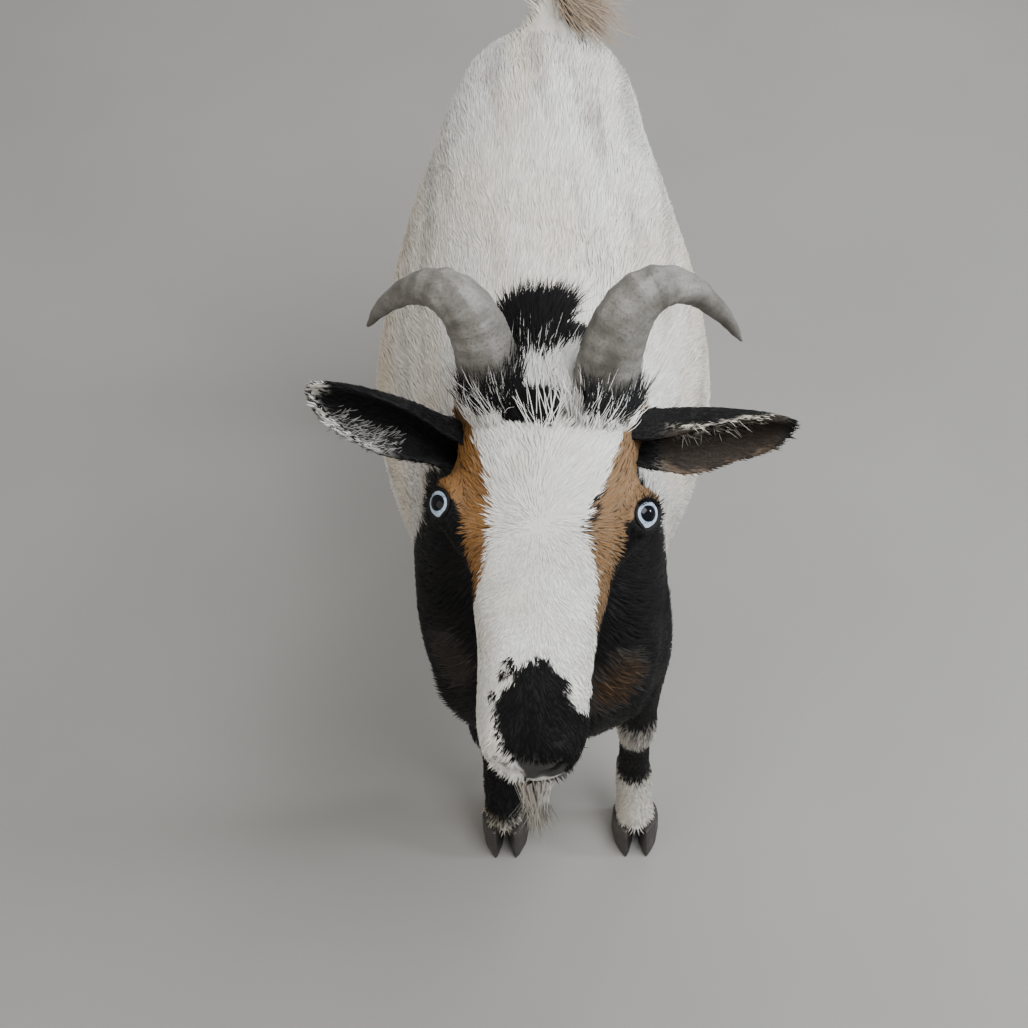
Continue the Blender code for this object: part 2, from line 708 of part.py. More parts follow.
def stand_at_origin():
    """Moves the goat so that the origin is the middle of its box, on the floor."""
    bpy.context.view_layer.update()
    corners = [thing.matrix_world @ Vector(c) for thing in GOAT.objects for c in thing.bound_box]
    low = Vector(min(c[i] for c in corners) for i in range(3))
    high = Vector(max(c[i] for c in corners) for i in range(3))
    anchor = bpy.data.objects.new("goat_stance", None)
    GOAT.objects.link(anchor)
    for thing in GOAT.objects:
        if thing != anchor:
            thing.parent = anchor
    anchor.location = (-(low.x + high.x) / 2, -(low.y + high.y) / 2, -low.z)


flesh_parts = part_flesh(whole_body())
add_feet(flesh_parts)
add_head_pieces(flesh_parts)
stand_at_origin()
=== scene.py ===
# %% [markdown]
# # A dwarf goat, dressed for display
# The CAD model gives the goat's masses as plain solids. This notebook dresses them: a skin with lids,
# nostrils and a mouth line, a coat of solid tufts that follows the lie of the hair, ridged horns,
# hooves with growth rings and pale blue eyes. The frame is loaded first, because every piece is placed
# from it.

# %% Load the frame
import json
import math

import bpy
import numpy as np
from mathutils import Matrix, Vector

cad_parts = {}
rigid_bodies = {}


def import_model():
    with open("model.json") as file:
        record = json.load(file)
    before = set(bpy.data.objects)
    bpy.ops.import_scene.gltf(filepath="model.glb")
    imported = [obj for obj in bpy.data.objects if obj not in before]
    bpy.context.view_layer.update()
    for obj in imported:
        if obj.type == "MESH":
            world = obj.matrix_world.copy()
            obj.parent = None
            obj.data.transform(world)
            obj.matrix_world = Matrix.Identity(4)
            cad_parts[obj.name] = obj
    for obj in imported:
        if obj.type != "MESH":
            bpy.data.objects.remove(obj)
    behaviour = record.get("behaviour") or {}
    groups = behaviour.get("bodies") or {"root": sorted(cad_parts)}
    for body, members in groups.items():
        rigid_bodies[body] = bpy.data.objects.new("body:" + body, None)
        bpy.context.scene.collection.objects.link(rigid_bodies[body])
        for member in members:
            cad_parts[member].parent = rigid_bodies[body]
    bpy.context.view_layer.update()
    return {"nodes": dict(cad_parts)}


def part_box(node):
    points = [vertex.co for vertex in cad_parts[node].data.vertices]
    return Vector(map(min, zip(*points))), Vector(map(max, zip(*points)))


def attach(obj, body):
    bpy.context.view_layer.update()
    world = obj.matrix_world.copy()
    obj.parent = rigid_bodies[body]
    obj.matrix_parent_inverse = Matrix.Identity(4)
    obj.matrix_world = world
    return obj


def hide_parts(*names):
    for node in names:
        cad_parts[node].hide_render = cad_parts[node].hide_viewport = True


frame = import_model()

# %% [markdown]
# ## Small helpers
# An operator works on whatever is selected, and the loaded CAD nodes start out selected. So each step
# first clears the selection. Flesh is copied from the CAD nodes: their triangles are loose, so a copy
# has its doubles merged before anything else is done to it.

# %% Selecting and copying
FLESH = ["head", "neck", "trunk", "tail"]
FLESH += [f"leg_{end}_{side}" for end in ("front", "hind") for side in ("left", "right")]


def pick(*objects):
    """Leaves object mode with just these objects selected, and the first one active."""
    if bpy.context.object and bpy.context.object.mode != "OBJECT":
        bpy.ops.object.mode_set(mode="OBJECT")
    bpy.ops.object.select_all(action="DESELECT")
    for thing in objects:
        thing.select_set(True)
    bpy.context.view_layer.objects.active = objects[0]
    return objects[0]


def merged_copy(name, nodes):
    """One new object from copies of CAD nodes, with the doubles merged."""
    copies = []
    for node in nodes:
        twin = frame["nodes"][node].copy()
        twin.data = twin.data.copy()
        twin.parent = None
        for key in list(twin.keys()):
            del twin[key]
        bpy.context.scene.collection.objects.link(twin)
        copies.append(twin)
    made = pick(*copies)
    if len(copies) > 1:
        bpy.ops.object.join()
    made.name = name
    made.data.name = name
    bpy.ops.object.mode_set(mode="EDIT")
    bpy.ops.mesh.select_all(action="SELECT")
    bpy.ops.mesh.remove_doubles(threshold=0.00002)
    bpy.ops.object.mode_set(mode="OBJECT")
    made.data.materials.clear()
    return made


def finish_with(thing, kind, **settings):
    """Adds one modifier with these settings and applies it."""
    pick(thing)
    bpy.ops.object.modifier_add(type=kind)
    modifier = thing.modifiers[-1]
    for setting, value in settings.items():
        setattr(modifier, setting, value)
    bpy.ops.object.modifier_apply(modifier=modifier.name)


def points_of(thing):
    found = np.empty(len(thing.data.vertices) * 3, np.float32)
    thing.data.vertices.foreach_get("co", found)
    return found.reshape(-1, 3).astype(float)


def set_points(thing, points):
    thing.data.vertices.foreach_set("co", points.astype(np.float32).ravel())
    thing.data.update()


def normals_of(thing):
    found = np.empty(len(thing.data.vertices) * 3, np.float32)
    thing.data.vertices.foreach_get("normal", found)
    return found.reshape(-1, 3).astype(float)


def unit(vector):
    vector = np.asarray(vector, float)
    return vector / np.linalg.norm(vector)


def step(value, low, high):
    """0 below low, 1 above high and a smooth rise between."""
    t = np.clip((value - low) / (high - low), 0, 1)
    return t * t * (3 - 2 * t)


print("flesh to copy:", FLESH)

# %% [markdown]
# ## Measuring along the head
# Lids, nostrils and markings are easiest to place on a head that lies flat. The two eyeballs of the CAD
# model fix that frame: their midpoint, and the known tilt and turn of the head. Every point can then be
# read as a distance sideways, down the face and out of the forehead.

# %% The head's own frame
EYE_RADIUS = 0.0125
EYE_OUT, EYE_ALONG, EYE_DEEP = 0.0490, 0.067, 0.0215  # sideways, down the face and into the head
HEAD_TURNS = (
    Matrix.Rotation(math.radians(-5), 3, "Z")
    @ Matrix.Rotation(math.radians(33), 3, "X")
    @ Matrix.Rotation(math.radians(1.5), 3, "Y")
)
head_axes = np.array(HEAD_TURNS)


def middle_of(node):
    low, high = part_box(node)
    return np.array([(a + b) / 2 for a, b in zip(low, high)])


between_eyes = (middle_of("eye_left") + middle_of("eye_right")) / 2
poll = between_eyes - head_axes @ np.array([0, -EYE_ALONG, -EYE_DEEP])


def to_head(points):
    """Sideways (goat's left), down the face and out of the forehead, in metres."""
    local = (np.asarray(points) - poll) @ head_axes
    return local * [1, -1, 1]


def from_head(local):
    return (np.asarray(local) * [1, -1, 1]) @ head_axes.T + poll


def head_way(local):
    """Turns a direction in the head's frame into one in the goat's."""
    return (np.asarray(local) * [1, -1, 1]) @ head_axes.T


# The body's landmarks are read where the poll stands at (0.0086, -0.2033, 0.6565).
settled = poll - np.array([0.0086, -0.2033, 0.6565])
print("poll at", np.round(poll, 4), "nose tip at", np.round(from_head([0, 0.215, -0.04]), 4))

# %% [markdown]
# ## The stage
# A goat in a museum stands on a plain floor under large soft lamps. One bright world could light it
# instead, but then nothing would shade the belly, and the coat would lose its depth. So three large
# area lamps light it, and a small fourth one puts a glint in the goat's left eye. The camera looks down
# on the face from in front, so near the head that the legs almost vanish below it.

# %% Camera, lamps and floor
CAMERA_AT = Vector(poll) + Vector((0.0145, -0.5420, 0.5805))
CAMERA_YAW, CAMERA_DOWN, CAMERA_ROLL = (math.radians(a) for a in (-4.01, 52.02, -4.30))
LENS_MM = 52.5

forwards = Vector((
    math.sin(CAMERA_YAW) * math.cos(CAMERA_DOWN),
    math.cos(CAMERA_YAW) * math.cos(CAMERA_DOWN),
    -math.sin(CAMERA_DOWN),
))
level_right = Vector((math.cos(CAMERA_YAW), -math.sin(CAMERA_YAW), 0))
level_up = level_right.cross(forwards)
right = level_right * math.cos(CAMERA_ROLL) + level_up * math.sin(CAMERA_ROLL)
up = right.cross(forwards)

bpy.ops.object.camera_add(location=CAMERA_AT)
camera = bpy.context.object
camera.name = "camera"
camera.rotation_mode = "QUATERNION"
camera.rotation_quaternion = Matrix((right, up, -forwards)).transposed().to_quaternion()
camera.data.lens = LENS_MM
camera.data.sensor_width = 36
camera.data.clip_start = 0.02
bpy.context.scene.camera = camera


def soft_lamp(name, at, aim, size, watts, colour):
    bpy.ops.object.light_add(type="AREA", location=at)
    lamp = bpy.context.object
    lamp.name = name
    lamp.data.size = size
    lamp.data.energy = watts
    lamp.data.color = colour
    lamp.rotation_mode = "QUATERNION"
    lamp.rotation_quaternion = (Vector(aim) - Vector(at)).to_track_quat("-Z", "Y")


soft_lamp("lamp_key", (0.9, -0.6, 2.3), (0, 0, 0.4), 1.3, 63, (0.92, 0.96, 1.0))
soft_lamp("lamp_fill", (-1.9, -1.3, 1.5), (0, 0, 0.3), 1.8, 17, (1.0, 0.93, 0.83))
soft_lamp("lamp_back", (0.4, 2.2, 1.9), (0, 0.1, 0.4), 1.6, 30, (0.93, 0.96, 1.0))
soft_lamp("lamp_glint", (1.60, -0.08, 0.98), (0.054, -0.25, 0.60), 0.25, 13, (0.86, 0.93, 1.0))
world = bpy.data.worlds.new("studio")
bpy.context.scene.world = world
world.use_nodes = True
world.node_tree.nodes["Background"].inputs["Color"].default_value = (0.88, 0.90, 0.93, 1)
world.node_tree.nodes["Background"].inputs["Strength"].default_value = 0.46
print("camera", round(LENS_MM, 1), "mm at", [round(c, 3) for c in CAMERA_AT])

# %% [markdown]
# ## The skin
# Under the coat the goat has one skin, with no seam from nose to tail. The parted CAD flesh is swollen
# by less than a millimetre to close its thin cuts, and a voxel remesh then fuses it, as a sculptor fuses
# clay. The head needs finer mesh for lids and nostrils, so only its faces are subdivided.

# %% Fuse the flesh
SKIN_VOXEL = 0.0060
SWELLING = 0.0007
skin = merged_copy("goat_skin", [*FLESH, "eye_left", "eye_right"])
finish_with(skin, "DISPLACE", strength=SWELLING, mid_level=0.0)
finish_with(skin, "REMESH", mode="VOXEL", voxel_size=SKIN_VOXEL)
# The remesh can leave small shells inside, so only the one that holds the highest point is kept.
bpy.ops.object.mode_set(mode="EDIT")
bpy.ops.mesh.select_all(action="DESELECT")
bpy.ops.object.mode_set(mode="OBJECT")
highest = int(np.argmax(points_of(skin)[:, 2]))
skin.data.vertices[highest].select = True
bpy.ops.object.mode_set(mode="EDIT")
bpy.ops.mesh.select_linked()
bpy.ops.mesh.select_all(action="INVERT")
bpy.ops.mesh.delete(type="VERT")
bpy.ops.object.mode_set(mode="OBJECT")
finish_with(skin, "SMOOTH", factor=0.5, iterations=4)
print("fused skin:", len(skin.data.polygons), "faces")


# %% Finer mesh on the head, muzzle and eyes
def eye_distance(local):
    centres = [np.array([side * EYE_OUT, EYE_ALONG, -EYE_DEEP]) for side in (1, -1)]
    return np.minimum(*(np.linalg.norm(local - centre, axis=1) for centre in centres))


def refine(thing, chosen, cuts):
    """Subdivides the faces whose middles are chosen."""
    pick(thing)
    middles = np.array([face.center for face in thing.data.polygons])
    flags = chosen(to_head(middles))
    bpy.ops.object.mode_set(mode="EDIT")
    bpy.ops.mesh.select_mode(type="FACE")
    bpy.ops.mesh.select_all(action="DESELECT")
    bpy.ops.object.mode_set(mode="OBJECT")
    thing.data.polygons.foreach_set("select", flags)
    bpy.ops.object.mode_set(mode="EDIT")
    bpy.ops.mesh.subdivide(number_cuts=cuts, smoothness=0.6)
    bpy.ops.object.mode_set(mode="OBJECT")


def in_head(local):
    side_way, along, out = local.T
    return (along > -0.03) & (along < 0.23) & (out > -0.115) & (np.abs(side_way) < 0.08)


refine(skin, in_head, 2)
refine(skin, lambda local: in_head(local) & (local[:, 1] > 0.185) & (local[:, 2] > -0.07), 1)
refine(skin, lambda local: eye_distance(local) < 0.019, 2)
head_group = skin.vertex_groups.new(name="head_fine")
head_here = np.nonzero(in_head(to_head(points_of(skin))))[0]
head_group.add([int(i) for i in head_here], 1.0, "REPLACE")
finish_with(skin, "SMOOTH", factor=0.5, iterations=8, vertex_group="head_fine")
print("with a fine head:", len(skin.data.polygons), "faces")

# %% [markdown]
# The skin lies under the coat by the coat's depth: deepest on the tail, less on the trunk, shallow on
# the face and nothing at the hoof's edge. A Displace modifier with a vertex group sinks each place by
# its own amount, which keeps the form that the CAD model set.


# %% Tell head, legs, tail and neck apart
LEG_TOPS = (0.245, 0.345)  # the heights between which a leg becomes the trunk
TAIL_RISE, TAIL_BACK = (0.528, 0.556), (0.26, 0.30)  # the same for the tail, upwards and backwards
NECK_ROOT = (0.150, 0.4625)  # how far forwards and how high the middle of the neck's root is


def region_shares(points):
    """How much each point belongs to the head, a leg, the tail and the neck, from 0 to 1."""
    side_way, along, out = to_head(points).T
    head = step(along - 0.35 * out, 0.005, 0.035) * step(out, -0.16, -0.12)
    head *= step(0.30 - np.abs(side_way) - along, 0.0, 0.01)
    _, y, z = (points - settled).T
    leg = 1 - step(z, *LEG_TOPS)
    tail = step(z, *TAIL_RISE) * step(y, *TAIL_BACK)
    past_root = (y + NECK_ROOT[0]) * -0.70 + (z - NECK_ROOT[1]) * 0.715
    neck = step(past_root, -0.03, 0.03) * (1 - head) * (1 - step(y, -0.02, 0.04))
    return head, leg, tail, neck


shares = [round(float(share.mean()), 2) for share in region_shares(points_of(skin))]
print("shares of head, legs, tail and neck:", shares)


# %% Sink the skin by the coat's depth
DEEP_COAT, TRUNK_COAT, LEG_COAT, FOOT_COAT = 0.0100, 0.0060, 0.0040, 0.0026


def coat_depth(points):
    head, leg, tail, _ = region_shares(points)
    depth = np.full(len(points), TRUNK_COAT)
    depth += (LEG_COAT - depth) * leg
    depth += (FOOT_COAT - depth) * step(0.16 - points[:, 2], 0, 0.05)
    depth += (DEEP_COAT - depth) * tail
    face = 0.0034 - 0.0018 * step(to_head(points)[:, 1], 0.02, 0.12)
    depth += (face - depth) * head
    return depth * step(points[:, 2], 0.030, 0.042)


sunk = skin.vertex_groups.new(name="coat_depth")
for index, depth in enumerate(coat_depth(points_of(skin))):
    sunk.add([index], float(depth / DEEP_COAT), "REPLACE")
finish_with(skin, "DISPLACE", strength=-DEEP_COAT, mid_level=0.0, vertex_group="coat_depth")
print("skin sunk by 0 to", 1000 * DEEP_COAT, "mm")

# %% [markdown]
# ## Lids, nostrils and mouth
# A goat's eye sits under two tight lids on a bony rim, seen from the front as a dark-edged oval. The
# skin near each eyeball is measured in the opening's own directions: inside the oval it dips behind the
# eyeball, and round it it rises to lie on the ball as a lid of even thickness. Sculpting this by hand
# would work too, but a rule gives both eyes the same lids.

# %% The eye's directions
LID_THICK = 0.0017
LID_EDGE = (0.96, 1.16)  # the lid rises between these shares of the opening
DIP = 0.0013  # how far the skin lies under the eyeball's surface inside the opening
EYE_REACH = 0.022  # the lids shape nothing farther from the eye's middle
OPENING = (0.0071, 0.0079)  # half length down the face, half height
OPENING_RISE = math.radians(47)  # the opening faces this much above sideways
GAZE_RISE = math.radians(52)  # and the gaze this much


def eye_frame(side, rise):
    """Centre, and the directions out of the eye, down the face and across the lids, in head terms."""
    centre = np.array([side * EYE_OUT, EYE_ALONG, -EYE_DEEP])
    out = np.array([side * math.cos(rise), 0.04, math.sin(rise)])
    out /= np.linalg.norm(out)
    along = np.array([0, 1.0, 0]) - out * out[1]
    along /= np.linalg.norm(along)
    across = np.cross(out, along) * side
    return centre, out, along, across


print("lids open over", [round(2000 * half, 1) for half in OPENING], "mm")


# %% Shape the skin round the eyes
def lay_lids(local):
    for side in (1, -1):
        centre, out, along, across = eye_frame(side, OPENING_RISE)
        arm = local - centre
        reach = np.linalg.norm(arm, axis=1)
        u = arm @ along / reach * EYE_RADIUS / OPENING[0]
        v = arm @ across / reach * EYE_RADIUS / OPENING[1]
        oval = np.sqrt(u**2 + v**2) + 9 * (arm @ out < 0)
        lid = EYE_RADIUS + LID_THICK
        rise = EYE_RADIUS - DIP + (LID_THICK + DIP) * step(oval, *LID_EDGE)
        socket = lid + 0.5 * (reach - lid) + np.sqrt(0.25 * (reach - lid) ** 2 + 0.0011**2)
        wanted = np.where(oval < LID_EDGE[1], rise, socket)
        reach_now = np.where(reach < EYE_REACH, wanted, reach)
        local = centre + arm * (reach_now / reach)[:, None]
    return local


print("lids", 1000 * LID_THICK, "mm thick, round eyeballs of", 2000 * EYE_RADIUS, "mm")

# %% [markdown]
# A nostril is a slit round the wing of the nose, and the closed mouth is a thin line. Both could be cut
# as holes, but they are shallow, so the skin is only pressed in along lines. Each line is written once,
# for the goat's left, and mirrored for its right. The markings use the same lines again for the dark.

# %% Carve the nostrils and the mouth
# The lines on the goat's left: the nostril's from its lower corner round the wing to its top, and the
# mouth's from the middle of the lips back. The cleft runs down the middle, from the nose to the lip.
NOSTRIL = ((0.0075, 0.2095, -0.0290), (0.0160, 0.2020, -0.0225), (0.0215, 0.1930, -0.0215))
MOUTH = (
    (0.0, 0.2160, -0.0455),
    (0.0120, 0.2120, -0.0470),
    (0.0300, 0.1900, -0.0485),
    (0.0330, 0.1560, -0.0520),
)
CLEFT = ((0, 0.2130, -0.0300), (0, 0.2160, -0.0430))


def on_side(line, side):
    """A line's places on the goat's left (1) or mirrored to its right (-1)."""
    return [np.array([side, 1, 1]) * place for place in line]


def gap_to(points, start, end):
    """How far each point is from the line from start to end."""
    start, run = np.array(start), np.array(end) - np.array(start)
    t = np.clip((points - start) @ run / (run @ run), 0, 1)
    return np.linalg.norm(points - start - t[:, None] * run, axis=1)


def groove(local, start, end, width, depth, inward):
    """Presses a line from start to end into the surface, as deep as depth at its middle."""
    push = depth * np.exp(-((gap_to(local, start, end) / width) ** 2))
    return local + push[:, None] * np.array(inward)


def carve_muzzle(local):
    for side in (1, -1):
        corner, wing, top = on_side(NOSTRIL, side)
        local = groove(local, corner, wing, 0.0030, 0.0060, [-side * 0.10, -0.75, -0.35])
        local = groove(local, wing, top, 0.0024, 0.0046, [-side * 0.35, -0.70, -0.25])
        front, lip, cheek, back = on_side(MOUTH, side)
        local = groove(local, front, lip, 0.0016, 0.0034, [0, -0.9, 0])
        local = groove(local, lip, cheek, 0.0016, 0.0032, [-side * 0.7, -0.6, 0])
        local = groove(local, cheek, back, 0.0016, 0.0026, [-side * 1.0, 0, 0])
    return groove(local, *CLEFT, 0.0012, 0.0018, [0, -1.0, 0])


local = to_head(points_of(skin))
near_head = in_head(local)
local[near_head] = carve_muzzle(lay_lids(local[near_head]))
set_points(skin, np.where(near_head[:, None], from_head(local), points_of(skin)))
print("lids, nostrils and mouth shaped on", int(near_head.sum()), "points")

# %% [markdown]
# The lid's edge is a bare, dark, moist rim. Each starts as a torus, whose ring is then laid along the
# opening on the eyeball. The ears come from the CAD ears, smoothed by subdivision. Their roots are
# pushed into the head so that nothing gapes, and a hump widens each near its root. All join the skin.

# %% Lay the rims of the lids
RIM = 0.0010  # half the thickness of a lid's edge


def lid_rim(name, side):
    bpy.ops.object.select_all(action="DESELECT")
    bpy.ops.mesh.primitive_torus_add(
        major_segments=56, minor_segments=8, major_radius=1.0, minor_radius=0.1, generate_uvs=False
    )
    rim = bpy.context.object
    rim.name = name
    centre, out, along, across = eye_frame(side, OPENING_RISE)
    x, y, z = points_of(rim).T
    turn = np.arctan2(y, x)
    aside, lift = (np.hypot(x, y) - 1) * 10, z * 10
    tear = 1 + 0.16 * np.exp(-((turn / 0.35) ** 2))
    u = OPENING[0] * np.cos(turn) * tear
    v = OPENING[1] * np.sin(turn)
    thick = RIM * (1 + 0.25 * np.sin(turn))
    height = np.sqrt(np.maximum(EYE_RADIUS**2 - u**2 - v**2, 1e-9))
    spoke = u[:, None] * along + v[:, None] * across + height[:, None] * out
    spoke /= np.linalg.norm(spoke, axis=1)[:, None]
    outwards = np.cos(turn)[:, None] * along + np.sin(turn)[:, None] * across
    from_middle = EYE_RADIUS + 0.0006 + thick * lift
    at = centre + spoke * from_middle[:, None] + outwards * (thick * aside)[:, None]
    set_points(rim, from_head(at))
    return rim


print("lid rims", 2000 * RIM, "mm thick")

# %% Shape the ears and join the skin
# Each ear's root in the head's frame, and its directions towards the tip and into its hollow.
EAR_WAYS = {
    "left": ((0.045, 0.0100, -0.040), (1.0, -0.09, -0.10), (0.05, -0.85, -0.52)),
    "right": ((-0.050, 0.0235, -0.040), (-0.84, -0.24, 0.44), (-0.20, -0.70, -0.45)),
}


def skin_ear(side):
    ear = merged_copy(f"skin_ear_{side}", [f"ear_{side}"])
    finish_with(ear, "SUBSURF", levels=2, render_levels=2)
    finish_with(ear, "SMOOTH", factor=0.5, iterations=2)
    root, tipwards, _ = EAR_WAYS[side]
    local = to_head(points_of(ear))
    share = (local - root) @ unit(tipwards)
    down = unit(np.array([0, 1.0, 0]) - unit(tipwards) * unit(tipwards)[1])
    hump = step(share, 0.0, 0.012) * (1 - step(share, 0.025, 0.066))
    low = (local - root) @ down / 0.020
    wider = 0.007 * np.clip(low, 0, 1) if side == "left" else 0.011 * np.clip(low, -1, 0)
    local += np.outer(hump * wider, down)
    across = np.cross(unit(tipwards), unit(EAR_WAYS[side][2]))
    middle = ((local - root) @ across) * step(share, 0.0, 0.02)
    local -= np.outer(0.07 * middle, across)
    local -= np.outer(np.maximum(0, share - 0.03) * 0.03, unit(tipwards))
    local -= np.outer(np.maximum(0, 0.016 - share) * 0.9, unit(tipwards))
    set_points(ear, from_head(local))
    return ear


def label(thing, number):
    """Marks which part of the skin these points are: 0 body, 1 and 2 the left and right ears, 3 a rim."""
    part = thing.data.attributes.new("part", "INT", "POINT")
    part.data.foreach_set("value", np.full(len(thing.data.vertices), number, np.int32))


extras = [skin_ear("left"), skin_ear("right"), lid_rim("rim_left", 1), lid_rim("rim_right", -1)]
for number, thing in zip((0, 1, 2, 3, 3), [skin, *extras]):
    label(thing, number)
skin.vertex_groups.clear()
pick(skin, *extras)
bpy.ops.object.join()
pick(skin)
bpy.ops.object.shade_smooth()
print("whole skin:", sum(len(face.vertices) - 2 for face in skin.data.polygons), "triangles")

# %% [markdown]
# ## An unwrap for skin and coat
# The skin is unwrapped once, by its own shape. Each tuft will later take a tiny patch at its root's place
# on this same map, so that a baked coat keeps the colours of the skin beneath it.

# %% Unwrap the skin
bpy.ops.object.mode_set(mode="EDIT")
bpy.ops.mesh.select_all(action="SELECT")
bpy.ops.uv.smart_project(angle_limit=math.radians(66), island_margin=0.002)
bpy.ops.object.mode_set(mode="OBJECT")
skin.data.uv_layers[0].name = "OFBake"
print("unwrap:", skin.data.uv_layers[0].name)

# %% [markdown]
# ## Markings
# The goat's markings are areas with soft, hairy edges: a white blaze that widens over the forehead, a tan
# stripe over each eye, black cheeks, a black patch on the nose, black ears and a black neck and chest.
# They are worked out from a place on the body by a rule, so skin and coat can't disagree. An image would
# slide over the form and couldn't be read at a tuft's root.

# %% Where the face's markings begin and end
# Distance down the face, then how far out of the forehead its middle line stands.
FACE_TOP = (
    (0.0, 0.0045),
    (0.023, 0.0057),
    (0.075, 0.0028),
    (0.148, -0.004),
    (0.170, -0.008),
    (0.2085, -0.023),
)
# Distance down the face, then how far round from the middle line each stripe begins and ends.
TAN_STRIPE = {
    1: (
        (0.010, 0.060, 0.080),
        (0.020, 0.0545, 0.092),
        (0.032, 0.0496, 0.098),
        (0.046, 0.0401, 0.095),
        (0.057, 0.0346, 0.084),
        (0.067, 0.0291, 0.0620),
        (0.074, 0.0280, 0.0525),
        (0.081, 0.0273, 0.0490),
        (0.092, 0.0329, 0.0520),
        (0.109, 0.0393, 0.0530),
        (0.122, 0.0404, 0.0500),
        (0.132, 0.0470, 0.0470),
    ),
    -1: (
        (0.010, 0.060, 0.086),
        (0.032, 0.0490, 0.088),
        (0.042, 0.0428, 0.084),
        (0.053, 0.0324, 0.080),
        (0.060, 0.0308, 0.066),
        (0.066, 0.0293, 0.056),
        (0.077, 0.0301, 0.047),
        (0.086, 0.0301, 0.0475),
        (0.094, 0.0338, 0.0490),
        (0.105, 0.0384, 0.0480),
        (0.118, 0.0470, 0.0470),
    ),
}
# Distance down the face and how far round the white reaches below the stripes.
WHITE_REACH = {
    1: ((0.122, 0.0470), (0.136, 0.0485), (0.168, 0.0424), (0.178, 0.0370), (0.220, 0.0370)),
    -1: ((0.110, 0.0480), (0.118, 0.0508), (0.150, 0.0620), (0.190, 0.0660), (0.220, 0.0700)),
}
# The nose patch: distance down the face, its edge on the goat's right and on its left.
NOSE_PATCH = (
    (0.143, 0.003, 0.004),
    (0.147, -0.001, 0.006),
    (0.150, -0.006, 0.010),
    (0.157, -0.009, 0.017),
    (0.165, -0.016, 0.020),
    (0.171, -0.0186, 0.0215),
    (0.1745, -0.0188, 0.0300),
    (0.178, -0.0187, 0.0450),
    (0.187, -0.0160, 0.0600),
    (0.195, -0.0130, 0.0600),
    (0.206, -0.0060, 0.0600),
    (0.214, 0.0000, 0.0600),
)
# Between the horns the hair is white: across the head, then how far down the face the white comes.
BETWEEN_HORNS = (
    (-0.026, -0.018, -0.012, -0.006, 0.000, 0.005, 0.012, 0.024),
    (-0.004, 0.004, 0.009, 0.0135, 0.0170, 0.0210, 0.020, 0.012),
)
# The black fringe's lower edge at each horn, and the front edge of the black tuft on the nape.
FRINGE_RIGHT = (
    (-0.050, -0.044, -0.039, -0.033, -0.026, -0.013, 0.003, 0.006),
    (-0.012, 0.000, 0.0130, 0.015, 0.0175, 0.0232, 0.0262, 0.012),
)
FRINGE_LEFT = ((0.016, 0.022, 0.033, 0.040, 0.045, 0.050), (0.0, 0.008, 0.013, 0.0125, 0.002, -0.012))
NAPE_EDGE = ((-0.030, -0.016, -0.005, 0.0035, 0.010), (-0.006, -0.0075, -0.0045, -0.015, -0.030))
SOFT = 0.0016  # half the width of a marking's soft edge
print("nose patch from", NOSE_PATCH[0][0], "to", NOSE_PATCH[-1][0], "m down the face")

# %% [markdown]
# Each edge is a table of places, and the places between are worked out from their neighbours. A little
# smooth unevenness is added before a point is compared with an edge, because the border between two
# colours of hair is never a clean curve.

# %% Black and tan on the face
def read(table, column, along):
    rows = np.array(table)
    return np.interp(along, rows[:, 0], rows[:, column])


def wobble(points, size, seed):
    """Smooth, repeatable unevenness from -1 to 1 with features about size across."""
    rng = np.random.default_rng(seed)
    total = np.zeros(len(points))
    for _ in range(6):
        way = rng.normal(size=3)
        way /= np.linalg.norm(way)
        total += np.sin(points @ way * (2 * math.pi / size) * rng.uniform(0.6, 1.5) + rng.uniform(0, 6.28))
    return total / 3.2


def line_gap(local, line):
    """How far each point is from a line of the face, on whichever side that is nearer."""
    nearest = np.full(len(local), 1.0)
    for side in (1, -1):
        places = on_side(line, side)
        for start, end in zip(places, places[1:]):
            nearest = np.minimum(nearest, gap_to(local, start, end))
    return nearest


